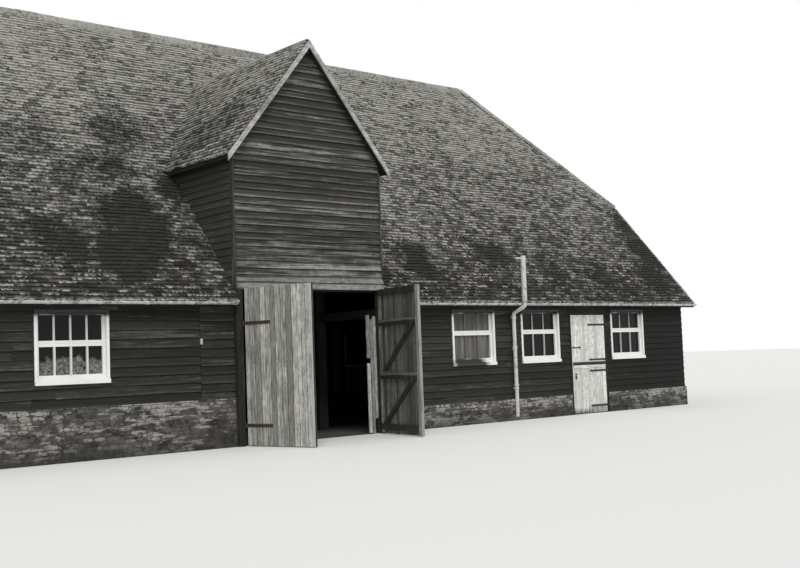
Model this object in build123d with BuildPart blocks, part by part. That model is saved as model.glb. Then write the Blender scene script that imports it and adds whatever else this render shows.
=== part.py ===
# A timber-framed, weatherboarded aisled barn with a tiled half-hipped roof and a gabled cart entrance.
# Millimetres. X runs along the front to the right, Y from the front to the back, Z up.
# The origin is on the ground below the ridge, on the centre line of the cart entrance.

from build123d import *

import os
from math import cos, radians, sin

os.makedirs("parts", exist_ok=True)

# Main body
wall_half_length = 12100      # to the outer face of the end walls' boarding
wall_half_depth = 5430        # to the outer face of the front and back boarding
skin_thickness = 30           # boarding
stud_depth = 120              # wall posts behind the boarding
stud_width = 100
stud_spacing = 900
stud_least_spacing = 150      # no two wall posts stand closer than this
plate_height = 178            # wall plate, from its underside to the rafters at its outer edge

# Masonry plinth, higher on the left where the ground once stood higher
plinth_thickness = 330
plinth_projection = 40        # beyond the boarding's flat face
plinth_height_left = 890
plinth_height_right = 480

# Main roof
ridge_height = 9182
eaves_height = 2642           # top edge of the covering at the eaves
eaves_overhang = 210
ridge_half_length = 9464
hip_foot_height = 5476        # lower edge of the half-hips
verge_overhang = 312
cover_drop = 92               # battens and tiles, measured plumb
rafter_drop = 130             # common rafters, measured plumb
rafter_width = 80
rafter_spacing = 520
ridge_cap_width = 150
ridge_cap_rise = 55
ridge_cap_edge = 18
ridge_board_thickness = 40
ridge_board_depth = 200

# Aisled timber frame
truss_places = (1830, 5560, 9040)
truss_width = 160
arcade_line = 3200            # centre of the arcade posts from the ridge line
arcade_post_size = 220
arcade_plate_width = 200
arcade_plate_height = 180     # from the tie beams to the rafters at its outer edge
tie_depth = 250
tie_width = 200
principal_drop = 330
purlin_line = 1700
purlin_width = 150
purlin_drop = 230
collar_depth = 180            # its top is level with the purlins' top
crown_strut_size = 150
aisle_tie_depth = 170
brace_width = 100
brace_fall = 1400             # from the tie beam down to where an arch brace leaves its post
brace_reach = 1350            # how far it runs along the tie beam
brace_depth = 280
brace_radius = 2400

# Gabled cart entrance
porch_half_width = 1746
porch_projection = 89         # of the gable's face from the main boarding
porch_wall_thickness = 100
porch_ridge_height = 7764
porch_eaves_height = 5360
porch_eaves_overhang = 168
porch_front_overhang = 150
porch_cap_width = 130
bargeboard_thickness = 30
bargeboard_depth = 140        # measured plumb
doorway_left = -1605
doorway_right = 1632
doorway_height = 2920
door_post_proud = 25          # in front of the gable's flat face
head_beam_depth = 120
head_beam_height = 220
door_stop_drop = 60           # the head beam hangs this far below the doorway's head
jamb_board_left = 1395
jamb_board_right = 1720
jamb_board_thickness = 32
jamb_board_height = 2400

# Cart entrance leaves
leaf_top = 2890
leaf_foot = 15
leaf_board_thickness = 28
ledge_thickness = 36
ledge_height = 120
ledge_heights = (150, 1160, 2220, 2828)
brace_run = 150
ledge_inset = 70
free_stile_width = 90
leaf_side_gap = 12
leaf_meeting_gap = 10
braced_bays = (0, 1)           # between these ledges and the next ones up
left_leaf_angle = 76.5        # from shut, as it stands
right_leaf_angle = 80
strap_heights = (380, 2245)
strap_length = 640
strap_width = 60
strap_thickness = 6
eye_radius = 16
pin_radius = 8
pin_clearance = 0.6
pin_overrun = 12
pin_arm_height = 16
pin_arm_reach = 32

# Stable door in two leaves
stable_left = 7615
stable_right = 8859
stable_height = 2377
stable_frame_width = 60
stable_frame_depth = 110
stable_frame_proud = 30
stable_split = 1172
stable_gap = 6
stable_leaf_thickness = 30
stable_ledge_thickness = 28
stable_strap_length = 620
stable_strap_width = 45
stable_lower_insets = (170, 145)  # strap centres, from the leaf's foot and from its top
stable_upper_insets = (115, 235)

# Windows: left edges along the front, from the left
window_width = 1300
window_height = 1231
window_head_gap = 16           # between a window and the wall plate
window_frame_width = 50
window_frame_depth = 150
window_frame_proud = 35
window_sill_height = 70
window_sill_reach = 30
glass_thickness = 6
glass_setback = 110
front_window_places = (-10420, -5510, 3736, 5899, 9120)
back_window_places = (-10420, -5510, 4210, 9120)

# Closed opening beside the cart entrance
panel_left = -2460

# Rainwater goods and the vent pipe
gutter_radius = 50
gutter_wall = 5
gutter_drop = 8               # rim below the top edge of the covering
gutter_end_gap = 60
seat_gap = 0.3
vent_place = 5600
vent_radius = 44
vent_foot = 90
vent_top = 3700
vent_standoff = 45            # between the boarding and the pipe
vent_gutter_gap = 6
vent_bend_radius = 88
vent_swan_foot = 2420         # where the pipe starts to swing out round the eaves
vent_swan_rise = 140
vent_side_step = 100          # and to the right
vent_stub_radius = 20
vent_stub_length = 200
vent_stub_setback = 60        # below the top
clip_heights = (700, 1590, 2310)
clip_height = 45
clip_wall = 8
clip_arm_width = 50

# How far a cutting box runs past the faces that it cuts
cut_past = 60

# Values worked out from the sizes above
eaves_half_depth = wall_half_depth + eaves_overhang
verge_half_length = wall_half_length + verge_overhang
main_rate = (ridge_height - eaves_height) / eaves_half_depth
hip_rate = (ridge_height - hip_foot_height) / (verge_half_length - ridge_half_length)
porch_eaves_half = porch_half_width + porch_eaves_overhang
porch_rate = (porch_ridge_height - porch_eaves_height) / porch_eaves_half
skin_inner = wall_half_depth - skin_thickness
stud_inner = skin_inner - stud_depth
end_skin_inner = wall_half_length - skin_thickness
end_stud_inner = end_skin_inner - stud_depth
porch_face = wall_half_depth + porch_projection
porch_wall_inner = porch_face - porch_wall_thickness
porch_cheek_inner = porch_half_width - porch_wall_thickness
porch_roof_front = porch_face + porch_front_overhang
rafter_underside = cover_drop + rafter_drop
frame_underside = cover_drop + principal_drop
arcade_post_outer = arcade_line + arcade_post_size / 2
arcade_post_inner = arcade_line - arcade_post_size / 2
arcade_plate_inner = arcade_line - arcade_plate_width / 2
arcade_plate_outer = arcade_line + arcade_plate_width / 2
rafter_foot_level = ridge_height - rafter_underside
plate_underside = rafter_foot_level - main_rate * skin_inner - plate_height
window_top = plate_underside - window_head_gap
window_foot = window_top - window_height
stable_frame_top = stable_height + stable_frame_width
tie_top = rafter_foot_level - main_rate * arcade_plate_outer - arcade_plate_height
tie_underside = tie_top - tie_depth
brace_foot = tie_underside - brace_fall
purlin_top = rafter_foot_level - main_rate * (purlin_line - purlin_width / 2)
collar_underside = purlin_top - collar_depth
sides = (-1, 1)
slopes = ("front", "back", "left", "right")
all_trusses = [side * place for side in sides for place in truss_places]


def roof_plane(slope, drop=0):
    """The outer surface of one slope of the main roof, lowered by drop."""
    if slope == "front":
        return Plane(origin=(0, 0, ridge_height - drop), z_dir=(0, -main_rate, 1))
    if slope == "back":
        return Plane(origin=(0, 0, ridge_height - drop), z_dir=(0, main_rate, 1))
    side = -1 if slope == "left" else 1
    return Plane(origin=(side * ridge_half_length, 0, ridge_height - drop), z_dir=(side * hip_rate, 0, 1))


def porch_plane(side, drop=0):
    """The outer surface of one slope of the porch roof, lowered by drop."""
    return Plane(origin=(0, 0, porch_ridge_height - drop), z_dir=(side * porch_rate, 0, 1))


def valley_depth(x, drop):
    """How far in front of the ridge the porch surface, lowered by drop, meets the main slope at x."""
    return (ridge_height - porch_ridge_height + drop + porch_rate * abs(x)) / main_rate


def block(x_low, x_high, y_low, y_high, z_low, z_high):
    """A squared piece between two corners, added to the part being built."""
    with Locations(((x_low + x_high) / 2, (y_low + y_high) / 2, (z_low + z_high) / 2)):
        Box(x_high - x_low, y_high - y_low, z_high - z_low)


def keep_below(*planes):
    """Cut the part being built off at each plane and keep what is below."""
    for plane in planes:
        split(bisect_by=plane, keep=Keep.BOTTOM)


def keep_above(plane):
    """Cut the part being built off at the plane and keep what is above."""
    split(bisect_by=plane, keep=Keep.TOP)


def save(piece, name):
    """Label a finished piece and write it."""
    piece.part.label = name
    export_step(piece.part, f"parts/{name}.step")


# Plans of the roof slopes. The hip lines run down from the ridge ends in plan.
hip_half_depth = hip_rate / main_rate * (verge_half_length - ridge_half_length)
front_outline = [
    (-verge_half_length, -eaves_half_depth),
    (verge_half_length, -eaves_half_depth),
    (verge_half_length, -hip_half_depth),
    (ridge_half_length, 0),
    (-ridge_half_length, 0),
    (-verge_half_length, -hip_half_depth),
]
back_outline = [(x, -y) for x, y in front_outline]
porch_notch = [
    (-porch_half_width, -eaves_half_depth),
    (-porch_half_width, -porch_wall_inner),
    (-porch_cheek_inner, -porch_wall_inner),
    (-porch_cheek_inner, -valley_depth(porch_cheek_inner, cover_drop)),
    (0, -valley_depth(0, cover_drop)),
    (porch_cheek_inner, -valley_depth(porch_cheek_inner, cover_drop)),
    (porch_cheek_inner, -porch_wall_inner),
    (porch_half_width, -porch_wall_inner),
    (porch_half_width, -eaves_half_depth),
]

# Main roof covering, front slope, opened where the cart entrance stands through it
with BuildPart() as roof_front:
    with BuildSketch(Plane.XY):
        Polygon(*front_outline, align=None)
        Polygon(*porch_notch, align=None, mode=Mode.SUBTRACT)
    extrude(amount=ridge_height)
    keep_below(roof_plane("front"))
    keep_above(roof_plane("front", cover_drop))
save(roof_front, "roof_front")

# Back slope
with BuildPart() as roof_back:
    with BuildSketch(Plane.XY):
        Polygon(*back_outline, align=None)
    extrude(amount=ridge_height)
    keep_below(roof_plane("back"))
    keep_above(roof_plane("back", cover_drop))
save(roof_back, "roof_back")

# Half-hips
def half_hip(name, side):
    """The covering of the half-hip at one end."""
    with BuildPart() as covering:
        with BuildSketch(Plane.XY):
            Polygon(
                (side * ridge_half_length, 0),
                (side * verge_half_length, -hip_half_depth),
                (side * verge_half_length, hip_half_depth),
                align=None,
            )
        extrude(amount=ridge_height)
        keep_below(roof_plane(name))
        keep_above(roof_plane(name, cover_drop))
    return covering.part


half_hips = [half_hip("left", -1), half_hip("right", 1)]
with BuildPart() as roof_half_hips:
    add(half_hips)
save(roof_half_hips, "roof_half_hips")


def ridge_cap_section(plane, height, rate, width):
    """A half-round ridge tile's section on the plane, resting on both slopes."""
    foot = height - rate * width
    edge = foot + ridge_cap_edge
    with BuildSketch(plane) as section:
        with BuildLine():
            ThreePointArc((-width, edge), (0, height + ridge_cap_rise), (width, edge))
            Polyline((width, edge), (width, foot), (0, height), (-width, foot), (-width, edge))
        make_face()
    return section.sketch


# Ridge tiles of the main roof and of the porch, whose ridge runs back into the main slope
ridge_section = ridge_cap_section(Plane.YZ.offset(-ridge_half_length), ridge_height, main_rate, ridge_cap_width)
porch_ridge_section = ridge_cap_section(Plane.XZ.offset(porch_roof_front), porch_ridge_height, porch_rate,
                                        porch_cap_width)
with BuildPart() as porch_ridge_cap:
    extrude(porch_ridge_section, amount=-porch_roof_front)
    keep_above(roof_plane("front"))
with BuildPart() as ridge_tiles:
    extrude(ridge_section, amount=2 * ridge_half_length)
    add(porch_ridge_cap.part)
save(ridge_tiles, "ridge_tiles")

# Porch roof: each slope runs back to the valley, where it lies on the main slope
for name, side in (("left", -1), ("right", 1)):
    with BuildPart() as porch_roof:
        with BuildSketch(Plane.XY):
            Polygon(
                (0, -porch_roof_front),
                (side * porch_eaves_half, -porch_roof_front),
                (side * porch_eaves_half, 0),
                (0, 0),
                align=None,
            )
        extrude(amount=ridge_height)
        keep_below(porch_plane(side))
        keep_above(porch_plane(side, cover_drop))
        keep_above(roof_plane("front"))
    save(porch_roof, f"porch_roof_{name}")

# Bargeboards on the porch gable
with BuildPart() as porch_bargeboards:
    with BuildSketch(Plane.XZ.offset(porch_roof_front)):
        Polygon(
            (-porch_eaves_half, porch_eaves_height),
            (0, porch_ridge_height),
            (porch_eaves_half, porch_eaves_height),
            (porch_eaves_half, porch_eaves_height - bargeboard_depth),
            (0, porch_ridge_height - bargeboard_depth),
            (-porch_eaves_half, porch_eaves_height - bargeboard_depth),
            align=None,
        )
    extrude(amount=bargeboard_thickness)
save(porch_bargeboards, "porch_bargeboards")

# Porch walls
with BuildPart() as porch_gable:
    block(-porch_half_width, porch_half_width, -porch_face, -porch_wall_inner, doorway_height, ridge_height)
    keep_below(porch_plane(-1, cover_drop), porch_plane(1, cover_drop))
save(porch_gable, "porch_gable")

with BuildPart() as porch_cheeks:
    for side in sides:
        low, high = sorted((side * porch_cheek_inner, side * porch_half_width))
        block(low, high, -porch_wall_inner, 0, 0, ridge_height)
    keep_below(porch_plane(-1, cover_drop), porch_plane(1, cover_drop))
    keep_above(roof_plane("front"))
save(porch_cheeks, "porch_cheeks")

with BuildPart() as door_posts:
    post_face = porch_face + door_post_proud
    block(-porch_half_width, doorway_left, -post_face, -porch_wall_inner, 0, doorway_height)
    block(doorway_right, porch_half_width, -post_face, -porch_wall_inner, 0, doorway_height)
save(door_posts, "door_posts")

with BuildPart() as doorway_head:
    head_foot = doorway_height - door_stop_drop
    block(
        -porch_cheek_inner,
        porch_cheek_inner,
        -porch_wall_inner,
        -porch_wall_inner + head_beam_depth,
        head_foot,
        head_foot + head_beam_height,
    )
save(doorway_head, "doorway_head")

with BuildPart() as jamb_board:
    block(
        jamb_board_left,
        jamb_board_right,
        -porch_wall_inner,
        -porch_wall_inner + jamb_board_thickness,
        0,
        jamb_board_height,
    )
save(jamb_board, "jamb_board")


# Plinth
def plinth_height(x):
    """The plinth's height at a place along the barn."""
    return plinth_height_left if x < 0 else plinth_height_right


stable_frame_left = stable_left - stable_frame_width
stable_frame_right = stable_right + stable_frame_width
plinth_face = wall_half_depth + plinth_projection
plinth_end_face = wall_half_length + plinth_projection
plinth_inner = plinth_face - plinth_thickness
plinth_end_inner = plinth_end_face - plinth_thickness

with BuildPart() as plinth:
    for height, start, finish in (
        (plinth_height_right, -plinth_end_face, plinth_end_face),
        (plinth_height_left, -plinth_end_face, 0),
    ):
        with BuildSketch(Plane.XY):
            Rectangle(2 * plinth_end_face, 2 * plinth_face)
            Rectangle(2 * plinth_end_inner, 2 * plinth_inner, mode=Mode.SUBTRACT)
            with Locations((0, -plinth_face)):
                Rectangle(2 * porch_half_width, 2 * plinth_thickness, mode=Mode.SUBTRACT)
            with Locations(((stable_frame_left + stable_frame_right) / 2, -plinth_face)):
                Rectangle(stable_frame_right - stable_frame_left, 2 * plinth_thickness, mode=Mode.SUBTRACT)
            with Locations(((start + finish) / 2, 0)):
                Rectangle(finish - start, 2 * plinth_face, mode=Mode.INTERSECT)
        extrude(amount=height)
save(plinth, "plinth")

# Boarded walls, cut off under the roof covering, with the windows cut through
def long_wall(side, x_low, x_high, z_low, windows=()):
    """A stretch of front (side -1) or back (side 1) boarding."""
    y_low, y_high = sorted((side * wall_half_depth, side * skin_inner))
    block(x_low, x_high, y_low, y_high, z_low, ridge_height)
    slope = "front" if side < 0 else "back"
    keep_below(roof_plane(slope, cover_drop))
    for place in windows:
        with Locations((place + window_width / 2, side * wall_half_depth, window_foot + window_height / 2)):
            Box(window_width, 2 * cut_past, window_height, mode=Mode.SUBTRACT)


def windows_between(places, x_low, x_high):
    """The windows that stand in a stretch of wall."""
    return [place for place in places if x_low < place < x_high]


front_walls = {
    "wall_front_left": (-wall_half_length, panel_left, plinth_height_left),
    "boarded_panel": (panel_left, -porch_half_width, plinth_height_left),
    "wall_front_middle": (porch_half_width, stable_frame_left, plinth_height_right),
    "wall_over_stable_door": (stable_frame_left, stable_frame_right, stable_frame_top),
    "wall_front_right": (stable_frame_right, wall_half_length, plinth_height_right),
}
for name, (x_low, x_high, z_low) in front_walls.items():
    with BuildPart() as front_wall:
        long_wall(-1, x_low, x_high, z_low, windows_between(front_window_places, x_low, x_high))
    save(front_wall, name)

with BuildPart() as wall_back:
    long_wall(1, -wall_half_length, wall_half_length, plinth_height_left, back_window_places)
    block(0, wall_half_length, skin_inner, wall_half_depth, plinth_height_right, plinth_height_left)
save(wall_back, "wall_back")

with BuildPart() as wall_ends:
    for side in sides:
        low, high = sorted((side * wall_half_length, side * end_skin_inner))
        block(low, high, -skin_inner, skin_inner, plinth_height(side), ridge_height)
    keep_below(*[roof_plane(slope, cover_drop) for slope in slopes])
save(wall_ends, "wall_ends")

# Windows: frames with a sill, and one sheet of glass each
window_sides = [(-1, place) for place in front_window_places] + [(1, place) for place in back_window_places]
window_face = wall_half_depth + window_frame_proud


def across(side, near, far):
    """Lowest and highest y of a piece between two distances in front of or behind the ridge line."""
    return sorted((side * near, side * far))


with BuildPart() as window_frames:
    for side, place in window_sides:
        y_low, y_high = across(side, window_face, window_face - window_frame_depth)
        block(place, place + window_width, y_low, y_high, window_foot, window_top)
    for side, place in window_sides:
        with Locations((
            place + window_width / 2,
            side * (window_face - window_frame_depth / 2),
            (window_foot + window_sill_height + window_top - window_frame_width) / 2,
        )):
            Box(
                window_width - 2 * window_frame_width,
                window_frame_depth + 2 * cut_past,
                window_height - window_sill_height - window_frame_width,
                mode=Mode.SUBTRACT,
            )
    for side, place in window_sides:
        y_low, y_high = across(side, window_face, window_face + window_sill_reach)
        block(place, place + window_width, y_low, y_high, window_foot, window_foot + window_sill_height)
save(window_frames, "window_frames")

with BuildPart() as window_glass:
    glass_face = window_face - glass_setback
    for side, place in window_sides:
        y_low, y_high = across(side, glass_face, glass_face - glass_thickness)
        block(
            place + window_frame_width,
            place + window_width - window_frame_width,
            y_low,
            y_high,
            window_foot + window_sill_height,
            window_top - window_frame_width,
        )
save(window_glass, "window_glass")

# Wall posts: at every truss, beside every opening and at even spacing between
front_openings = [(place, place + window_width) for place in front_window_places]
front_openings.append((stable_frame_left, stable_frame_right))
back_openings = [(place, place + window_width) for place in back_window_places]


def post_places(start, finish, openings):
    """Centres of the posts along a wall between two ends, clear of the openings."""
    fixed = [place for place in all_trusses if start < place < finish]
    for low, high in openings:
        if start < low < finish:
            fixed += [low - stud_width / 2, high + stud_width / 2]
    fixed.append(start + stud_width / 2)
    fixed.append(finish - stud_width / 2)
    count = int((finish - start) // stud_spacing)
    step = (finish - start) / (count + 1)
    spread = [start + step * (index + 1) for index in range(count)]
    placed = []
    for place in fixed + spread:
        free = all(place + stud_width / 2 <= low or place - stud_width / 2 >= high for low, high in openings)
        if free and all(abs(place - other) > stud_least_spacing for other in placed):
            placed.append(place)
    return placed


with BuildPart() as wall_posts:
    for start, finish in ((-end_stud_inner, -porch_half_width), (porch_half_width, end_stud_inner)):
        for place in post_places(start, finish, front_openings):
            y_low, y_high = across(-1, stud_inner, skin_inner)
            block(place - stud_width / 2, place + stud_width / 2, y_low, y_high, plinth_height(place), plate_underside)
    for start, finish in ((-end_stud_inner, 0), (0, end_stud_inner)):
        for place in post_places(start, finish, back_openings):
            block(place - stud_width / 2, place + stud_width / 2, stud_inner, skin_inner, plinth_height(place),
                  plate_underside)
save(wall_posts, "wall_posts")

with BuildPart() as end_posts:
    count = int(2 * skin_inner // stud_spacing)
    step = (2 * skin_inner - stud_width) / count
    for side in sides:
        low, high = sorted((side * end_skin_inner, side * end_stud_inner))
        for index in range(count + 1):
            centre = -skin_inner + stud_width / 2 + step * index
            block(low, high, centre - stud_width / 2, centre + stud_width / 2, plinth_height(side), ridge_height)
    keep_below(*[roof_plane(slope, cover_drop) for slope in slopes])
save(end_posts, "end_posts")

# Aisled frame
with BuildPart() as arcade_posts:
    with Locations(*[(place, side * arcade_line, tie_underside / 2) for place in all_trusses for side in sides]):
        Box(arcade_post_size, arcade_post_size, tie_underside)
save(arcade_posts, "arcade_posts")

# Plates under the rafters' feet: on the wall posts, and on the tie beams over the arcades
with BuildPart() as plates:
    for low, high in ((-end_stud_inner, -porch_half_width), (porch_half_width, end_stud_inner)):
        block(low, high, -skin_inner, -stud_inner, plate_underside, ridge_height)
    block(-end_stud_inner, end_stud_inner, stud_inner, skin_inner, plate_underside, ridge_height)
    for side in sides:
        y_low, y_high = across(side, arcade_plate_inner, arcade_plate_outer)
        block(-end_stud_inner, end_stud_inner, y_low, y_high, tie_top, ridge_height)
    keep_below(roof_plane("front", rafter_underside), roof_plane("back", rafter_underside))
save(plates, "plates")

# Tie beams across the nave, and lower ties across the aisles
with BuildPart() as tie_beams:
    for place in all_trusses:
        block(place - tie_width / 2, place + tie_width / 2, -arcade_post_outer, arcade_post_outer, tie_underside,
              tie_top)
        for side in sides:
            y_low, y_high = across(side, arcade_post_outer, stud_inner)
            block(place - truss_width / 2, place + truss_width / 2, y_low, y_high, plate_underside - aisle_tie_depth,
                  plate_underside)
save(tie_beams, "tie_beams")

# Curved braces from the arcade posts to the tie beams
with BuildPart() as arch_braces:
    for place in all_trusses:
        for side in sides:
            with BuildSketch(Plane.YZ.offset(place - brace_width / 2)):
                foot = (side * arcade_post_inner, brace_foot)
                heel = (side * arcade_post_inner, brace_foot + brace_depth)
                head = (side * (arcade_post_inner - brace_reach), tie_underside)
                neck = (side * (arcade_post_inner - brace_reach + brace_depth), tie_underside)
                with BuildLine():
                    RadiusArc(foot, head, side * brace_radius)
                    Line(head, neck)
                    RadiusArc(neck, heel, -side * brace_radius)
                    Line(heel, foot)
                make_face()
            extrude(amount=brace_width)
save(arch_braces, "arch_braces")


def slope_timbers(slope, rectangles, outline, notch, drop, underside):
    """Timbers that follow one slope of the roof, from their plans as (x, y, length, width) rectangles."""
    with BuildPart() as timbers:
        with BuildSketch(Plane.XY):
            for x, y, length, width in rectangles:
                with Locations((x, y)):
                    Rectangle(length, width)
            Polygon(*outline, align=None, mode=Mode.INTERSECT)
            if notch:
                Polygon(*notch, align=None, mode=Mode.SUBTRACT)
        extrude(amount=ridge_height)
        keep_below(roof_plane(slope, drop))
        keep_above(roof_plane(slope, underside))
    return timbers.part


ridge_clear = ridge_board_thickness / 2


def slope_strips(side, places, width, foot):
    """Plans of timbers running from the ridge board down to a distance foot from the ridge line."""
    return [(place, side * (ridge_clear + foot) / 2, width, foot - ridge_clear) for place in places]


principals = [
    slope_timbers(slope, slope_strips(side, all_trusses, truss_width, arcade_plate_inner), outline, None,
                  cover_drop, frame_underside)
    for slope, side, outline in (("front", -1, front_outline), ("back", 1, back_outline))
]
with BuildPart() as principal_rafters:
    add(principals)
save(principal_rafters, "principal_rafters")

with BuildPart() as collars:
    for place in all_trusses:
        block(place - truss_width / 2, place + truss_width / 2, -arcade_line, arcade_line, collar_underside,
              collar_underside + collar_depth)
    keep_below(roof_plane("front", frame_underside), roof_plane("back", frame_underside))
save(collars, "collars")

with BuildPart() as crown_struts:
    strut_height = collar_underside - tie_top
    with Locations(*[(place, 0, tie_top + strut_height / 2) for place in all_trusses]):
        Box(crown_strut_size, crown_strut_size, strut_height)
save(crown_struts, "crown_struts")

# Purlins, let in between the principal rafters, and the ridge board
bay_ends = [-end_stud_inner, *sorted(all_trusses), end_stud_inner]


def bays():
    """Clear stretches between the principal rafters, from end wall to end wall."""
    for index in range(len(bay_ends) - 1):
        start = bay_ends[index] + (truss_width / 2 if index else 0)
        finish = bay_ends[index + 1] - (truss_width / 2 if index < len(bay_ends) - 2 else 0)
        yield start, finish


with BuildPart() as ridge_board:
    block(
        -ridge_half_length,
        ridge_half_length,
        -ridge_board_thickness / 2,
        ridge_board_thickness / 2,
        ridge_height - cover_drop - ridge_board_depth,
        ridge_height,
    )
    keep_below(roof_plane("front", cover_drop), roof_plane("back", cover_drop))

with BuildPart() as purlins:
    for start, finish in bays():
        for side in sides:
            y_low, y_high = across(side, purlin_line - purlin_width / 2, purlin_line + purlin_width / 2)
            block(start, finish, y_low, y_high, purlin_top - purlin_drop, purlin_top)
    keep_below(*[roof_plane(slope, rafter_underside) for slope in slopes])
    add(ridge_board.part)
save(purlins, "purlins")


# Common rafters
def rafter_places():
    """Centres of the common rafters, even within each bay."""
    for start, finish in bays():
        count = max(1, round((finish - start) / rafter_spacing))
        step = (finish - start) / count
        for index in range(count):
            yield start + step * (index + 0.5)


def hip_strips(side):
    """Plans of the rafters of a half-hip, which run along the barn."""
    count = int(hip_half_depth // rafter_spacing)
    return [
        (side * end_stud_inner / 2, index * rafter_spacing, end_stud_inner, rafter_width)
        for index in range(-count, count + 1)
    ]


def hip_outline(side, inset):
    """Plan of a half-hip, drawn in from the hips by inset."""
    return [
        (side * (ridge_half_length + inset), 0),
        (side * verge_half_length, -hip_half_depth + inset),
        (side * verge_half_length, hip_half_depth - inset),
    ]


places = list(rafter_places())
rafter_sets = [
    slope_timbers("front", slope_strips(-1, places, rafter_width, skin_inner), front_outline, porch_notch,
                  cover_drop, rafter_underside),
    slope_timbers("back", slope_strips(1, places, rafter_width, skin_inner), back_outline, None,
                  cover_drop, rafter_underside),
    slope_timbers("left", hip_strips(-1), hip_outline(-1, rafter_width), None, cover_drop, rafter_underside),
    slope_timbers("right", hip_strips(1), hip_outline(1, rafter_width), None, cover_drop, rafter_underside),
]
with BuildPart() as common_rafters:
    add(rafter_sets)
save(common_rafters, "common_rafters")

# Gutters along the eaves, half-round and open at the top
gutter_line = eaves_half_depth + gutter_radius + seat_gap
gutter_rim = eaves_height - gutter_drop
gutter_inner_end = porch_half_width + gutter_end_gap
gutter_lengths = (
    (-1, -verge_half_length, -gutter_inner_end),
    (-1, gutter_inner_end, verge_half_length),
    (1, -verge_half_length, verge_half_length),
)
with BuildPart() as gutters:
    for side, start, finish in gutter_lengths:
        with BuildSketch(Plane.YZ.offset(start)):
            with Locations((side * gutter_line, gutter_rim)):
                Circle(gutter_radius)
                Circle(gutter_radius - gutter_wall, mode=Mode.SUBTRACT)
            with Locations((side * gutter_line, gutter_rim + gutter_radius)):
                Rectangle(2 * gutter_radius, 2 * gutter_radius, mode=Mode.SUBTRACT)
        extrude(amount=finish - start)
save(gutters, "gutters")

# Vent pipe: up the wall, out round the eaves and the gutter, and on above them
vent_line = wall_half_depth + vent_standoff + vent_radius
vent_upper_line = gutter_line + gutter_radius + vent_gutter_gap + vent_radius
vent_upper_place = vent_place + vent_side_step

with BuildPart() as vent_pipe:
    with BuildLine():
        FilletPolyline(
            (vent_place, -vent_line, vent_foot),
            (vent_place, -vent_line, vent_swan_foot),
            (vent_upper_place, -vent_upper_line, vent_swan_foot + vent_swan_rise),
            (vent_upper_place, -vent_upper_line, vent_top),
            radius=vent_bend_radius,
        )
    with BuildSketch(Plane.XY.offset(vent_foot)):
        with Locations((vent_place, -vent_line)):
            Circle(vent_radius)
    sweep()
    with BuildSketch(Plane.YZ.offset(vent_upper_place - vent_radius - vent_stub_length)):
        with Locations((-vent_upper_line, vent_top - vent_stub_setback)):
            Circle(vent_stub_radius)
    extrude(amount=vent_stub_length + vent_radius)
save(vent_pipe, "vent_pipe")

# Clips that hold the pipe off the boarding
with BuildPart() as vent_pipe_clips:
    for height in clip_heights:
        with BuildSketch(Plane.XY.offset(height)):
            with Locations((vent_place, -vent_line)):
                Circle(vent_radius + clip_wall)
            with Locations((vent_place, -(vent_line + wall_half_depth) / 2)):
                Rectangle(clip_arm_width, vent_line - wall_half_depth)
            with Locations((vent_place, -vent_line)):
                Circle(vent_radius + seat_gap, mode=Mode.SUBTRACT)
        extrude(amount=clip_height)
save(vent_pipe_clips, "vent_pipe_clips")


# Leaves of the cart entrance and of the stable door
class Leaf:
    """A leaf on its hinge line: x from the hinge towards the free edge, y up, depth inwards."""

    def __init__(self, hinge_x, hinge_y, hand, angle, width, foot, top):
        """hand is 1 for a leaf hinged at its right edge as seen from the front, -1 at its left edge."""
        self.hinge = (hinge_x, hinge_y)
        self.hand = hand
        self.along = Vector(-hand * cos(radians(angle)), -sin(radians(angle)), 0)
        self.width = width
        self.foot = foot
        self.top = top

    def face(self, depth):
        """The plane parallel to the leaf at a depth inwards from the hinge line."""
        upright = Plane(origin=(*self.hinge, 0), x_dir=self.along, z_dir=(self.along.Y, -self.along.X, 0))
        return upright.offset(self.hand * depth)

    def level(self, height):
        """The level plane at a height, with x along the leaf."""
        return Plane(origin=(*self.hinge, height), x_dir=self.along, z_dir=(0, 0, 1))


def leaf_boards(leaf, thickness):
    """The vertical boards of a leaf, as one slab."""
    with BuildPart() as boards:
        with BuildSketch(leaf.face(eye_radius)):
            with Locations(((leaf_side_gap + leaf.width / 2), (leaf.foot + leaf.top) / 2)):
                Rectangle(leaf.width, leaf.top - leaf.foot)
        extrude(amount=leaf.hand * thickness)
    return boards


def leaf_ledges(leaf, depth, thickness, heights, height, stile, braced):
    """Ledges across the back of a leaf, with a stile at the free edge and braces in the braced bays."""
    far = leaf_side_gap + leaf.width
    with BuildPart() as ledges:
        with BuildSketch(leaf.face(depth)):
            for middle in heights:
                with Locations(((ledge_inset + far) / 2, middle)):
                    Rectangle(far - ledge_inset, height)
            if stile:
                with Locations((far - stile / 2, (leaf.foot + leaf.top) / 2)):
                    Rectangle(stile, leaf.top - leaf.foot)
            for index in braced:
                low, high = heights[index], heights[index + 1]
                Polygon(
                    (ledge_inset, low),
                    (ledge_inset + brace_run, low),
                    (far - stile, high),
                    (far - stile - brace_run, high),
                    align=None,
                )
        extrude(amount=leaf.hand * thickness)
    return ledges


def leaf_straps(leaf, heights, length, width):
    """Strap hinges on the outer face, each with an eye that turns on its pin."""
    with BuildPart() as straps:
        for height in heights:
            with BuildSketch(leaf.level(height - width / 2)):
                Circle(eye_radius)
                with Locations((length / 2, -leaf.hand * (eye_radius - strap_thickness / 2))):
                    Rectangle(length, strap_thickness)
                Circle(pin_radius + pin_clearance, mode=Mode.SUBTRACT)
            extrude(amount=width)
    return straps


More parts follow.
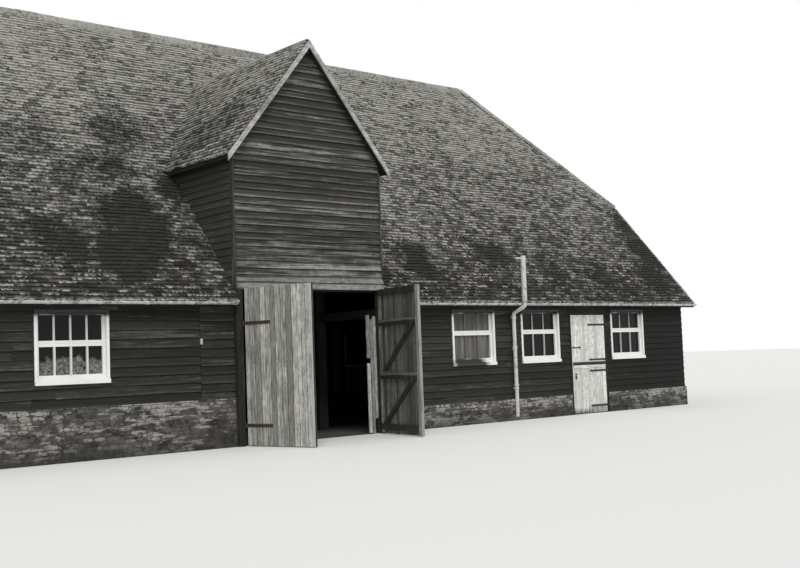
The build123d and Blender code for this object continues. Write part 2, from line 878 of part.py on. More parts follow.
def leaf_pins(leaf, heights, width, standoff):
    """Pins for the strap hinges, each on an arm from the post that carries it."""
    x, y = leaf.hinge
    for height in heights:
        foot = height - width / 2 - seat_gap
        with Locations((x, y, foot - pin_arm_height)):
            Cylinder(pin_radius, pin_arm_height + seat_gap + width + pin_overrun,
                     align=(Align.CENTER, Align.CENTER, Align.MIN))
        far_x = x + leaf.hand * pin_arm_reach
        block(min(x, far_x), max(x, far_x), y - pin_radius, y + standoff, foot - pin_arm_height, foot)


leaf_width = (doorway_right - doorway_left) / 2 - leaf_side_gap - leaf_meeting_gap / 2
leaf_line = -(porch_face + door_post_proud + eye_radius)
left_leaf = Leaf(doorway_left, leaf_line, -1, left_leaf_angle, leaf_width, leaf_foot, leaf_top)
right_leaf = Leaf(doorway_right, leaf_line, 1, right_leaf_angle, leaf_width, leaf_foot, leaf_top)
ledge_depth = eye_radius + leaf_board_thickness

for name, leaf in (("left_leaf", left_leaf), ("right_leaf", right_leaf)):
    save(leaf_boards(leaf, leaf_board_thickness), f"{name}_boards")
    save(
        leaf_ledges(leaf, ledge_depth, ledge_thickness, ledge_heights, ledge_height, free_stile_width,
                    braced_bays),
        f"{name}_ledges",
    )
    save(leaf_straps(leaf, strap_heights, strap_length, strap_width), f"{name}_straps")

# Stable door: a frame and two leaves, one over the other
stable_face = wall_half_depth + stable_frame_proud
stable_line = -(stable_face + eye_radius)
stable_leaf_width = stable_right - stable_left - leaf_side_gap - stable_gap

with BuildPart() as stable_frame:
    with BuildSketch(Plane.XZ.offset(stable_face)):
        with Locations(((stable_left + stable_right) / 2, stable_frame_top / 2)):
            Rectangle(stable_frame_right - stable_frame_left, stable_frame_top)
        with Locations(((stable_left + stable_right) / 2, stable_height / 2)):
            Rectangle(stable_right - stable_left, stable_height, mode=Mode.SUBTRACT)
    extrude(amount=-stable_frame_depth)
save(stable_frame, "stable_frame")

stable_lower = Leaf(stable_right, stable_line, 1, 0, stable_leaf_width, leaf_foot, stable_split - stable_gap / 2)
stable_upper = Leaf(stable_right, stable_line, 1, 0, stable_leaf_width, stable_split + stable_gap / 2,
                    stable_height - stable_gap)
stable_ledge_depth = eye_radius + stable_leaf_thickness


def between_insets(leaf, insets):
    """Heights at the two insets from a leaf's foot and top."""
    return leaf.foot + insets[0], leaf.top - insets[1]


stable_strap_heights = {
    "stable_lower": between_insets(stable_lower, stable_lower_insets),
    "stable_upper": between_insets(stable_upper, stable_upper_insets),
}

for name, leaf in (("stable_lower", stable_lower), ("stable_upper", stable_upper)):
    ledges = leaf_ledges(leaf, stable_ledge_depth, stable_ledge_thickness, stable_strap_heights[name],
                         ledge_height, 0, ())
    with BuildPart() as stable_leaf:
        add(leaf_boards(leaf, stable_leaf_thickness).part)
        add(ledges.part)
    save(stable_leaf, f"{name}_leaf")
    save(leaf_straps(leaf, stable_strap_heights[name], stable_strap_length, stable_strap_width), f"{name}_straps")

# Pins of all the hinges, on the door posts and the stable frame
with BuildPart() as hinge_pins:
    leaf_pins(left_leaf, strap_heights, strap_width, eye_radius)
    leaf_pins(right_leaf, strap_heights, strap_width, eye_radius)
    leaf_pins(stable_lower, stable_strap_heights["stable_lower"], stable_strap_width, eye_radius)
    leaf_pins(stable_upper, stable_strap_heights["stable_upper"], stable_strap_width, eye_radius)
save(hinge_pins, "hinge_pins")
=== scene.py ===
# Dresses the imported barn: tiles, boards, bricks, sashes, doors, ironwork, light and camera. In metres.
# X runs along the front to the right, Y from the front to the back, Z up.

import itertools
import math
import random

import bpy
import numpy as np
from mathutils import Matrix, Vector


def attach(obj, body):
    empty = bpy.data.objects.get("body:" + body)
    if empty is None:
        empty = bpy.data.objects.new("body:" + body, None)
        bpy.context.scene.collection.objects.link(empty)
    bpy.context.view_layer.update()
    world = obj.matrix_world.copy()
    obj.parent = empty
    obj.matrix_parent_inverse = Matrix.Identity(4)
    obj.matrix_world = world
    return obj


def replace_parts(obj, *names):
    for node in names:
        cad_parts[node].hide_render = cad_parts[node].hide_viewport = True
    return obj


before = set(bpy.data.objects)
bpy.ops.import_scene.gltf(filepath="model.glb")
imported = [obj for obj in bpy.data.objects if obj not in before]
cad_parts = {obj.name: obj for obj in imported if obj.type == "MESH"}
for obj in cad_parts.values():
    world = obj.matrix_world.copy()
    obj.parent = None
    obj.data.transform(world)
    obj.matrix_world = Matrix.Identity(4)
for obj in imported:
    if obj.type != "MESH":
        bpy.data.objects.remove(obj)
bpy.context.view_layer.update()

# The barn's sizes, as in the part's source
wall_half_length = 12.100
wall_face = 5.430
wall_top = 2.758
verge_half_length = 12.412
eaves_half_depth = 5.640
ridge_half_length = 9.464
ridge_height = 9.182
main_rate = 1.15957
hip_rate = 1.25712
cover_drop = 0.092
porch_half_width = 1.746
porch_face = 5.519
porch_roof_front = 5.669
porch_eaves_half = 1.914
porch_ridge_height = 7.764
porch_rate = 1.25601
doorway_left = -1.605
doorway_right = 1.632
doorway_height = 2.920
plinth_face = 5.470
plinth_height_left = 0.890
plinth_height_right = 0.480
panel_left = -2.460
stable_left = 7.615
stable_right = 8.859
stable_top = 2.371
stable_frame_width = 0.060
stable_frame_top = 2.437
stable_split = 1.172
window_width = 1.300
window_height = 1.231
window_top = 2.504
window_frame = 0.050
window_sill = 0.070
sash_stile = 0.046
bottom_rail = 0.088
lower_meeting_rail = 0.050
upper_meeting_rail = 0.048
top_rail = 0.036
lower_sash_stand = 0.046    # how far each sash stands off the glass
upper_sash_stand = 0.030
sash_gap = 0.004
glass_line = 5.355
front_windows = (-10.420, -5.510, 3.736, 5.899, 9.120)
back_windows = (-10.420, -5.510, 4.210, 9.120)
gutter_line = 5.690
gutter_rim = 2.634
gutter_radius = 0.050
gutter_start = 1.806
bracket_gauge = 0.92
bracket_width = 0.026
union_width = 0.070
vent_place = 5.600
vent_line = 5.519
vent_upper_place = 5.700
vent_upper_line = 5.790
vent_radius = 0.044
fitting_gap = 0.0005
leaf_line = -5.560
left_leaf_angle = 76.5
right_leaf_angle = 80
leaf_foot = 0.015
leaf_top = 2.890
leaf_board = 0.028
leaf_plank = 0.118
leaf_plank_gap = 0.016
stable_line = -5.476
stable_board = 0.030
stable_plank = 0.120
stable_ledge_half = 0.060
stable_ledge_depth = 0.028
rail_inset = 0.030
split_gap = 0.003
eye_radius = 0.016
side_gap = 0.012
jamb_left = 1.395
jamb_front = -5.419
latch_height = 1.93
free_stile = 0.090
strap_face = 0.010
strap_heights = (0.380, 2.245)
strap_length = 0.640
stable_strap_length = 0.620
stable_lower_straps = (0.185, 1.024)
stable_upper_straps = (1.290, 2.136)

# Tiles
tile_gauge = 0.096
tile_width = 0.168
tile_gap = 0.004
tile_lap = 0.030
tile_tail = 0.030           # how far a tile's tail stands off the covering's flat face
tile_head = 0.006
least_width = 0.012         # cut tiles and boards smaller than this are left out
cut_tile_end = 0.004        # the least width of a cut tile's end
slope_gap = 0.004
valley_gap = 0.002
verge_gap = 0.012
verge_mortar = (-0.055, 0.012)
eaves_drop = 0.012
cap_skin = 0.016
cap_gap = 0.003
cap_arcs = 7

# Weatherboards
wall_exposure = 0.159
right_exposure = 0.146
porch_exposure = 0.133
low_exposure = 0.137
board_tail = 0.029
board_head = 0.007
board_lap = 0.012
board_inset = 0.0012
board_step = 0.45
least_course = 0.02
least_board = 0.05

# Bricks and flints
brick_rise = 0.072
brick_lengths = (0.10, 0.14, 0.21, 0.23)
brick_joint = 0.005
bed_joint = 0.004
brick_depth = 0.02

# Looks, light and camera
moss_stray = 1.3            # how far the outlines of the mossy patches wander
blind_window = front_windows[2]
sill_dark_patch = (4.25, -5.45, 1.16)
sky_light = 0.62
sun_direction = Vector((0.35, 0.62, -0.85))
sun_strength = 1.7
sun_spread = math.radians(28)
camera_place = Vector((-12.60, -22.78, 1.517))
camera_right = Vector((0.7592, -0.6498, -0.0371))
camera_forward = Vector((0.6507, 0.7565, 0.0663))
camera_lens = 49.6
# A near-black tone for dirt, and for painted shadow under the laps of the boards
soot_and_shade = (0.008, 0.0075, 0.007)
leaf_outside = ((0.100, 0.097, 0.087), (0.37, 0.365, 0.332), (0.50, 0.495, 0.455))
leaf_inside = ((0.046, 0.0445, 0.040), (0.17, 0.166, 0.150), (0.27, 0.265, 0.243))

rng = np.random.default_rng(1887)
X = Vector((1, 0, 0))
Y = Vector((0, 1, 0))
Z = Vector((0, 0, 1))


# Axes and meshes

class Axes:
    """Where a piece starts and how it lies: along it, through its thickness and up it."""

    def __init__(self, origin, along, through, up=Z):
        self.origin = Vector(origin)
        self.along = along
        self.through = through
        self.up = up
        self.hand = along.cross(through).dot(up)

    def at(self, along, through, up):
        return tuple(self.origin + self.along * along + self.through * through + self.up * up)


def facing(outwards, distance):
    """A wall's axes from its middle: along it, out of its face and up."""
    return Axes(outwards * distance, Z.cross(outwards), outwards)


def leaf_axes(x, y, side, angle):
    """An open leaf's axes from its hinge: along it, inwards and up. side is 1 for a hinge on the right."""
    turn = math.radians(angle)
    along = Vector((-side * math.cos(turn), -math.sin(turn), 0))
    return Axes((x, y, 0), along, side * Vector((along.y, -along.x, 0)))


world_axes = Axes((0, 0, 0), X, Y)
left_leaf = leaf_axes(doorway_left, leaf_line, -1, left_leaf_angle)
right_leaf = leaf_axes(doorway_right, leaf_line, 1, right_leaf_angle)
stable_leaf = leaf_axes(stable_right, stable_line, 1, 0)
leaf_span = (doorway_right - doorway_left) / 2 - side_gap - 0.005
stable_span = stable_right - stable_left - side_gap - 0.006


class Shell:
    """Points and faces of one piece, with each point's place in its board and its tone."""

    def __init__(self):
        self.points = []
        self.faces = []
        self.grain = []
        self.tone = []

    def add(self, points, faces, grain=None, tone=(0.5, 0.5, 0.5), flip=False):
        """Adds a closed form. grain has one vector for each point. tone is one for all, or a list."""
        start = len(self.points)
        order = -1 if flip else 1
        self.points.extend(points)
        self.faces.extend([tuple(start + index for index in face[::order]) for face in faces])
        self.grain.extend(grain or points)
        self.tone.extend(tone if isinstance(tone, list) else [tone] * len(points))

    def bar(self, points, grain=None, tone=(0.5, 0.5, 0.5), flip=False):
        """Adds a closed bar, whose points come four to a section."""
        last = len(points) - 4
        faces = [(0, 1, 2, 3), (last + 3, last + 2, last + 1, last)]
        for start in range(0, last, 4):
            for corner in range(4):
                after = (corner + 1) % 4
                faces.append((start + corner, start + 4 + corner, start + 4 + after, start + after))
        self.add(points, faces, grain, tone, flip)

    def box(self, axes, low, high, tone=None):
        """Adds a squared block between two corners."""
        if tone is None:
            tone = tuple(rng.random(3))
        corners = list(itertools.product(*zip(low, high)))
        grain = [(x, y + z, tone[0] * 37) for x, y, z in corners]
        faces = [(0, 1, 3, 2), (4, 6, 7, 5), (0, 4, 5, 1), (2, 3, 7, 6), (0, 2, 6, 4), (1, 5, 7, 3)]
        self.add([axes.at(*corner) for corner in corners], faces, grain, tone, axes.hand < 0)

    def make(self, name, material, body="barn"):
        """Makes the object, gives it its material, and puts it on its body."""
        mesh = bpy.data.meshes.new(name)
        mesh.from_pydata(self.points, [], self.faces)
        for key, values in (("grain", self.grain), ("tone", self.tone)):
            layer = mesh.attributes.new(key, "FLOAT_VECTOR", "POINT")
            layer.data.foreach_set("vector", np.asarray(values, dtype=np.float32).ravel())
        mesh.materials.append(material)
        mesh.update()
        piece = bpy.data.objects.new(name, mesh)
        bpy.context.scene.collection.objects.link(piece)
        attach(piece, body)
        return piece


# Nodes

def add_node(tree, kind, inputs=None, **settings):
    """Adds a node to a tree, and sets or links its inputs."""
    made = tree.nodes.new("ShaderNode" + kind)
    for key, setting in settings.items():
        setattr(made, key, setting)
    for key, source in (inputs or {}).items():
        socket = made.inputs[key]
        if isinstance(source, Value):
            tree.links.new(source.socket, socket)
        elif isinstance(source, tuple) and len(source) < len(socket.default_value):
            socket.default_value = (*source, 1.0)
        else:
            socket.default_value = source
    return made


class Value:
    """What a node's output carries. Each operation on it adds nodes and returns their result."""

    def __init__(self, tree, socket):
        self.tree = tree
        self.socket = socket

    def into(self, kind, inputs, output=0, **settings):
        return Value(self.tree, add_node(self.tree, kind, inputs, **settings).outputs[output])

    def math(self, operation, first, second=0.0):
        return self.into("Math", {0: first, 1: second}, operation=operation)

    def __add__(self, other):
        return self.math("ADD", self, other)

    def __sub__(self, other):
        return self.math("SUBTRACT", self, other)

    def __rsub__(self, other):
        return self.math("SUBTRACT", other, self)

    def __mul__(self, other):
        return self.math("MULTIPLY", self, other)

    def __pow__(self, other):
        return self.math("POWER", self, other)

    def __gt__(self, other):
        return self.math("GREATER_THAN", self, other)

    def __lt__(self, other):
        return self.math("LESS_THAN", self, other)

    def __abs__(self):
        return self.math("ABSOLUTE", self)

    def or_more(self, other):
        return self.math("MAXIMUM", self, other)

    def remap(self, low, high, to_low=0.0, to_high=1.0):
        inputs = {"Value": self, "From Min": low, "From Max": high, "To Min": to_low, "To Max": to_high}
        return self.into("MapRange", inputs)

    def mix(self, first, second):
        """The first colour where this value is 0, and the second where it is 1."""
        return self.into("Mix", {0: self, 6: first, 7: second}, 2, data_type="RGBA")

    def shaded(self, shade):
        """This colour times a single value."""
        grey = self.into("CombineXYZ", {0: shade, 1: shade, 2: shade})
        return self.into("Mix", {0: 1.0, 6: self, 7: grey}, 2, data_type="RGBA", blend_type="MULTIPLY")

    def split(self):
        made = add_node(self.tree, "SeparateXYZ", {0: self})
        return [Value(self.tree, socket) for socket in made.outputs]

    def stretch(self, scale):
        return self.into("Mapping", {"Vector": self, "Scale": scale})

    def noise(self, scale, detail=3.0, rough=0.55, warp=0.0):
        inputs = {"Vector": self, "Scale": scale, "Detail": detail, "Roughness": rough, "Distortion": warp}
        return self.into("TexNoise", inputs, "Fac")

    def astray(self, scale, reach):
        """This place moved about by up to the reach, for uneven outlines."""
        noise = self.into("TexNoise", {"Vector": self, "Scale": scale, "Detail": 4.0}, "Color")
        inputs = {0: noise, 1: (reach, reach, reach), 2: self}
        return self.into("VectorMath", inputs, operation="MULTIPLY_ADD")

    def spot(self, centre, radius, soft):
        """1 near the centre, falling to 0 at the radius."""
        distance = self.into("VectorMath", {0: self, 1: centre}, "Value", operation="DISTANCE")
        return distance.remap(radius, radius * (1 - soft))

    def past(self, axes, direction):
        """How far this place lies past the start of the axes, in a direction."""
        reach = self.into("VectorMath", {0: self, 1: direction}, "Value", operation="DOT_PRODUCT")
        return reach - axes.origin.dot(direction)

    def within_walls(self):
        """1 inside the barn's walls, and 0 on their outer faces and beyond."""
        x, y, _ = self.split()
        return (abs(x) < wall_half_length - 0.02) * (abs(y) < wall_face - 0.02)


class Paint:
    """A material being built. Its place is where a point is on the object, in metres."""

    def __init__(self, name):
        self.material = bpy.data.materials.new(name)
        self.material.use_nodes = True
        self.tree = self.material.node_tree
        self.tree.nodes.clear()
        self.place = Value(self.tree, add_node(self.tree, "TexCoord").outputs["Object"])

    def attribute(self, name):
        return Value(self.tree, add_node(self.tree, "Attribute", attribute_name=name).outputs["Vector"])

    def finish(self, colour, roughness, height=None, distance=0.01, strength=0.5, specular=0.3):
        """Feeds the shader, with a bump from the height where one is given."""
        inputs = {"Base Color": colour, "Roughness": roughness, "Specular IOR Level": specular}
        if height is not None:
            bump = add_node(self.tree, "Bump", {"Strength": strength, "Distance": distance, "Height": height})
            inputs["Normal"] = Value(self.tree, bump.outputs[0])
        shader = add_node(self.tree, "BsdfPrincipled", inputs)
        add_node(self.tree, "OutputMaterial", {0: Value(self.tree, shader.outputs[0])})
        return self.material


def scaled(values, share):
    """Each value of a colour or a stretch times the same share."""
    return tuple(share * value for value in values)


# Materials

# Mossy patches of the roof: centre, radius and how thick the moss is
moss_patches = (
    ((-2.50, -2.38, 6.42), 1.4, 0.50),
    ((-2.79, -2.60, 6.17), 1.0, 0.57),
    ((-3.20, -3.18, 5.49), 1.2, 0.62),
    ((-3.98, -3.51, 5.11), 1.1, 0.52),
    ((-4.48, -2.90, 5.82), 1.2, 0.50),
    ((-2.92, -4.35, 4.13), 1.45, 1.0),
    ((-3.57, -5.01, 3.37), 1.30, 0.82),
    ((-1.95, -3.64, 4.96), 0.9, 0.85),
    ((-4.71, -4.69, 3.75), 1.15, 0.68),
    ((-1.20, -4.30, 6.15), 1.8, 0.47),
    ((3.40, -4.78, 3.62), 0.9, 0.85),
    ((5.90, -4.60, 3.85), 1.0, 0.72),
    ((7.60, -4.95, 3.45), 1.1, 0.56),
    ((9.39, -5.05, 3.30), 1.1, 0.58),
    ((11.55, -5.00, 3.35), 1.2, 0.70),
    ((12.20, -4.35, 4.15), 1.3, 0.85),
    ((12.12, -3.70, 4.90), 0.9, 0.66),
    ((-8.90, -4.10, 4.40), 1.5, 0.64),
    ((-10.20, -4.90, 3.50), 1.3, 0.62),
    ((-7.40, -3.20, 5.50), 1.3, 0.54),
    ((3.10, 4.30, 4.20), 1.6, 0.62),
    ((1.50, 5.00, 3.40), 1.4, 0.62),
    ((-0.80, 3.40, 5.20), 1.3, 0.50),
    ((-5.60, 4.80, 3.60), 1.5, 0.66),
    ((-7.20, 4.10, 4.40), 1.1, 0.56),
    ((9.50, 4.90, 3.50), 1.6, 0.62),
    ((6.40, 3.80, 4.80), 1.0, 0.52),
    ((-10.60, 4.60, 3.90), 1.5, 0.64),
)


def tile_material(name):
    """Old clay tiles: mossy and dark towards the eaves, paler with lichen towards the ridge."""
    paint = Paint(name)
    place = paint.place
    x, y, z = place.split()
    shade, up_tile, crust = paint.attribute("tone").split()
    height = z.remap(2.6, 9.0)
    broad = place.noise(0.45, 4, 0.6)
    patch = place.noise(1.6, 5, 0.7)
    fine = place.noise(15, 4, 0.78)
    speck = place.noise(75, 3, 0.7)
    age = (height * 1.10 + broad * 1.1 + patch * 0.8).remap(0.95, 2.10)
    colour = age.mix((0.034, 0.032, 0.028), (0.215, 0.211, 0.190))
    colour = colour.shaded((shade ** 1.4).remap(0, 1, 0.50, 1.75))
    colour = fine.remap(0.50, 0.36, 0.0, 0.7).mix(colour, (0.022, 0.021, 0.018))
    moss = patch.remap(0.46, 0.66) * height.remap(0.80, 0.10, 0.15, 0.62)
    loose = place.astray(1.3, moss_stray)
    for centre, radius, amount in moss_patches:
        moved = tuple(value + moss_stray / 2 for value in centre)
        moss = moss.or_more(loose.spot(moved, radius, 0.7) * amount)
    by_cheek = abs(x).remap(2.80, 2.20) * (y < -3.0) * z.remap(5.0, 4.5, 0.0, 0.48)
    ragged = fine * 0.9 + shade * 0.12
    moss = (moss - by_cheek - ragged).remap(-0.22, 0.12)
    colour = (moss * 0.95).mix(colour, (0.022, 0.0215, 0.018))
    lichen = fine + crust.remap(0, 1, -0.13, 0.13) + age.remap(0, 1, -0.07, 0.11)
    lichen = lichen.remap(0.49, 0.59) * up_tile.remap(0.36, 0.04, 0.20, 1.0) * moss.remap(0, 0.9, 1.0, 0.05)
    colour = lichen.mix(colour, (0.50, 0.492, 0.45))
    # Dirt and painted shadow: the upper part of each tile's exposed face darkens under the tail of the tile
    # above
    colour = up_tile.remap(0.48, 0.74, 0.0, 0.75).mix(colour, (0.015, 0.0145, 0.013))
    return paint.finish(colour, 0.92, fine + speck * 0.5, 0.006, 0.6, 0.2)


def plain_material(name, dark, light, scale):
    """A rough plain surface, clouded between two tones."""
    paint = Paint(name)
    cloud = paint.place.noise(scale, 5, 0.65)
    grit = paint.place.noise(scale * 9, 4, 0.7)
    colour = cloud.remap(0.35, 0.65).mix(dark, light)
    colour = grit.remap(0.35, 0.6, 0.4, 0.0).mix(colour, scaled(dark, 0.4))
    return paint.finish(colour, 0.9, grit, 0.004, 0.6, 0.2)


def board_material(name, dark, light, worn, wear, by_place=None, stretch=(1.0, 22.0, 22.0), tones=(0.58, 1.5),
                   edge=None, low_wear=None, inner_face=None, pale_tops=(), pale_end=None, fade=None,
                   dirty_foot=None, inside=None):
    """Sawn boards between a dark and a light tone, worn along the grain to a bare one.

    wear: how much of the bare tone shows. tones: how far the boards differ.
    by_place: the grain's stretch over a whole piece, where stretch is over each of its boards.
    edge: how far lower edges are rubbed, and how much of a board shows; the top of what shows is darkened, as
    dirt and painted shadow under the board above.
    low_wear: more wear below a level, with its reach and amount.
    inner_face: a leaf, the depth of its inner face and the tones there.
    pale_tops: ledges' top edges, each with its tone.
    pale_end: a leaf, where its free edge starts and the tone there.
    fade: where along the front the boards darken. dirty_foot: how high dirt reaches.
    inside: the tone indoors.
    """
    paint = Paint(name)
    place = paint.place
    x, _, z = place.split()
    if by_place:
        grain = place
        stretch = by_place
        shade = place.noise(1.3, 2).remap(0.3, 0.7, 0.75, 1.25)
        wear_shift = 0.0
    else:
        grain = paint.attribute("grain")
        shade, _, wear_shift = paint.attribute("tone").split()
        shade = shade.remap(0, 1, *tones)
        wear_shift = wear_shift.remap(0, 1, -0.10, 0.10)
    fibres = grain.stretch(stretch).noise(2.2, 6, 0.7, 0.4)
    streak = grain.stretch(scaled(stretch, 0.6)).noise(1.5, 4, 0.65)
    crack = grain.stretch(scaled(stretch, 1.6)).noise(3.1, 3, 0.5).remap(0.31, 0.40)
    blotch = place.noise(2.1, 5, 0.6)
    worn_low, worn_high = scaled(worn, 0.60), scaled(worn, 1.25)
    if inner_face:
        leaf, depth, inner_dark, inner_light, inner_worn = inner_face
        inner = place.past(leaf, leaf.through) > depth
        dark = inner.mix(dark, inner_dark)
        light = inner.mix(light, inner_light)
        worn_low = inner.mix(worn_low, scaled(inner_worn, 0.60))
        worn_high = inner.mix(worn_high, scaled(inner_worn, 1.25))
    colour = fibres.remap(0.32, 0.68).mix(dark, light)
    gone = streak * 0.75 + blotch * 0.25 + wear_shift
    if low_wear:
        level, reach, amount = low_wear
        gone = gone + z.remap(level + reach, level) * x.remap(-1.9, 0.4, 0.30, 1.0) * amount
    gone = gone.remap(0.60 - 0.25 * wear, 0.74 - 0.25 * wear)
    if edge:
        rubbing, exposure = edge
        up_board = grain.split()[1]
        gone = gone.or_more(up_board.remap(0.045, 0.004) * streak.remap(0.36, 0.58) * rubbing)
    mottle = fibres * 0.5 + place.noise(9, 4, 0.7) * 0.5
    colour = gone.mix(colour, mottle.remap(0.38, 0.58).mix(worn_low, worn_high))
    for low, high, pale in pale_tops:
        level = z + blotch.remap(0.3, 0.7, -0.012, 0.012)
        top = level.remap(low - 0.006, low + 0.006) * level.remap(high + 0.03, high + 0.02)
        colour = (top * fibres.remap(0.30, 0.55, 0.5, 1.0)).mix(colour, pale)
    colour = colour.shaded(shade)
    if edge:
        # Dirt and painted shadow: each board darkens towards the top of its exposure, under the lap of the
        # board above
        colour = up_board.remap(exposure - 0.050, exposure - 0.004, 0.0, 0.65).mix(colour, soot_and_shade)
    colour = crack.remap(0, 1, 0.6, 0.0).mix(colour, (0.012, 0.011, 0.010))
    if pale_end:
        leaf, start, pale = pale_end
        reach = place.past(leaf, leaf.along) + blotch.remap(0.3, 0.7, -0.02, 0.02)
        ended = reach.remap(start - 0.01, start) * fibres.remap(0.30, 0.52, 0.35, 1.0)
        colour = ended.mix(colour, pale)
    if fade:
        colour = x.remap(*fade, 0.0, 0.86).mix(colour, soot_and_shade)
    if dirty_foot:
        foot = z + streak.remap(0.3, 0.7, -0.09, 0.09)
        colour = foot.remap(dirty_foot, 0.02, 0.0, 0.9).mix(colour, (0.035, 0.033, 0.029))
    if inside:
        colour = place.within_walls().mix(colour, inside)
    return paint.finish(colour, 0.82, fibres + crack * 0.5, 0.004, 0.55, 0.25)


def paint_material(name, coat, under, chips, dirt, sashes=False):
    """Old paint with dirt and bare chips. The sashes' darkens towards the heads as painted shadow under the
    eaves, and is darker on one sill.
    """
    paint = Paint(name)
    place = paint.place
    cloud = place.noise(3.0, 4, 0.6)
    bare = place.noise(14, 5, 0.7, 0.3).remap(0.70 - 0.16 * chips, 0.74 - 0.16 * chips)
    colour = cloud.remap(0.35, 0.75, 0.0, dirt).mix(coat, scaled(coat, 0.55))
    colour = bare.mix(colour, under)
    if sashes:
        _, _, grime = paint.attribute("tone").split()
        level = place.split()[2] + cloud.remap(0.3, 0.7, -0.04, 0.04)
        # The sill of one window is darker, within a spot and below a level
        sill_darkening = place.spot(sill_dark_patch, 0.62, 0.3) * level.remap(1.47, 1.41)
        colour = grime.mix(colour, (0.17, 0.166, 0.15))
        # Painted shadow under the eaves: frames and sashes darken towards their heads
        colour = level.remap(2.35, 2.43, 0.0, 0.98).mix(colour, (0.016, 0.0155, 0.014))
        colour = sill_darkening.mix(colour, (0.028, 0.027, 0.025))
    return paint.finish(colour, 0.55, 1.0 - bare, 0.002, 0.5, 0.4)


def masonry_material(name):
    """Brick and flint rubble, dark with damp and sooty grime, with remains of limewash towards the top."""
    paint = Paint(name)
    place = paint.place
    x, _, z = place.split()
    shade, stone, glint = paint.attribute("tone").split()
    rough = place.noise(9, 6, 0.7)
    grit = place.noise(60, 4, 0.7)
    broad = place.stretch((0.8, 0.8, 2.2)).noise(1.2, 4, 0.6)
    flakes = place.stretch((1.0, 1.0, 3.6)).noise(3.4, 6, 0.72, 0.5)
    colour = shade.mix((0.030, 0.028, 0.025), (0.125, 0.118, 0.105))
    colour = rough.remap(0.45, 0.70, 0.0, 0.6).mix(colour, (0.24, 0.234, 0.215))
    pebble = stone.remap(0.5, 0.6) * glint.remap(0.3, 1.0, 0.0, 0.75)
    colour = pebble.mix(colour, (0.30, 0.295, 0.275))
    wash = flakes * 0.7 + broad * 0.45 + z.remap(0.35, 0.80, 0.0, 0.045) + x.remap(1.5, 3.0, 0.0, 0.052)
    colour = wash.remap(0.605, 0.665, 0.0, 0.80).mix(colour, (0.47, 0.46, 0.42))
    damp = z + broad.remap(0.3, 0.7, -0.1, 0.1)
    colour = damp.remap(0.35, 0.02, 0.0, 0.7).mix(colour, (0.032, 0.032, 0.026))
    colour = grit.remap(0.35, 0.65, 0.4, 0.0).mix(colour, (0.02, 0.019, 0.017))
    return paint.finish(colour, 0.93, rough + grit * 0.4, 0.012, 0.8, 0.2)


def iron_material(name, base, rust, amount, roughness=0.7):
    """Iron with rust or worn paint."""
    paint = Paint(name)
    cloud = paint.place.noise(7, 6, 0.7)
    pit = paint.place.noise(55, 4, 0.7)
    colour = cloud.remap(0.62 - 0.3 * amount, 0.74 - 0.3 * amount).mix(base, rust)
    colour = pit.remap(0.35, 0.6, 0.3, 0.0).mix(colour, scaled(base, 0.3))
    return paint.finish(colour, roughness, pit, 0.0015, 0.5, 0.4)


def glass_material(name):
    """Old panes, near black as painted shade of the dim inside, grimy low down on the left, and one window
    blind with pale boards inside.
    """
    paint = Paint(name)
    place = paint.place
    x, y, z = place.split()
    low = (z + place.noise(5, 3).remap(0.3, 0.7, -0.09, 0.09)).remap(1.74, 1.66)
    grime = low * place.noise(20, 5, 0.75, 0.6).remap(0.38, 0.62) * (x < 0.0)
    # Clean glass is near black: painted shade of the dark inside seen through it
    colour = grime.mix((0.008, 0.0085, 0.0085), (0.27, 0.265, 0.245))
    slats = place.stretch((1.0, 1.0, 0.10)).noise(9, 4, 0.6)
    blind = slats.remap(0.35, 0.65).mix((0.085, 0.082, 0.073), (0.20, 0.195, 0.175))
    blind = z.remap(1.93, 2.35, 0.0, 0.5).mix(blind, (0.03, 0.029, 0.025))
    here = (x > blind_window) * (x < blind_window + window_width) * (y < 0.0)
    colour = here.mix(colour, blind)
    rough = grime.or_more(here).remap(0, 1, 0.10, 0.7)
    return paint.finish(colour, rough, place.noise(2.5, 2), 0.01, 0.12, 0.15)


tile = tile_material("clay_tile")
# The bed under the tiles is near black, as painted shade where its edges show at the eaves
tile_bed = plain_material("tile_bed", (0.014, 0.013, 0.012), (0.034, 0.032, 0.028), 3.0)
hip_mortar = plain_material("hip_mortar", (0.16, 0.157, 0.143), (0.40, 0.395, 0.36), 5.0)
mortar = plain_material("lime_mortar", (0.045, 0.042, 0.037), (0.12, 0.115, 0.10), 2.5)
black_board = board_material(
    "black_board", (0.012, 0.0115, 0.0105), (0.036, 0.035, 0.032), (0.085, 0.083, 0.076), 0.18,
    edge=(0.40, wall_exposure), fade=(5.0, 10.5), tones=(0.66, 1.32))
gable_board = board_material(
    "gable_board", (0.018, 0.017, 0.0155), (0.056, 0.054, 0.049), (0.235, 0.231, 0.213), 0.20,
    stretch=(1.0, 30.0, 30.0), edge=(0.62, porch_exposure), low_wear=(3.02, 0.46, 0.34), tones=(0.72, 1.3))
cheek_board = board_material(
    "cheek_board", (0.029, 0.028, 0.0255), (0.051, 0.050, 0.045), (0.066, 0.065, 0.059), 0.2,
    edge=(0.15, porch_exposure), tones=(0.85, 1.15))
corner_board = board_material(
    "corner_board", (0.020, 0.019, 0.0175), (0.060, 0.058, 0.053), (0.13, 0.127, 0.117), 0.4,
    (14.0, 14.0, 1.0))
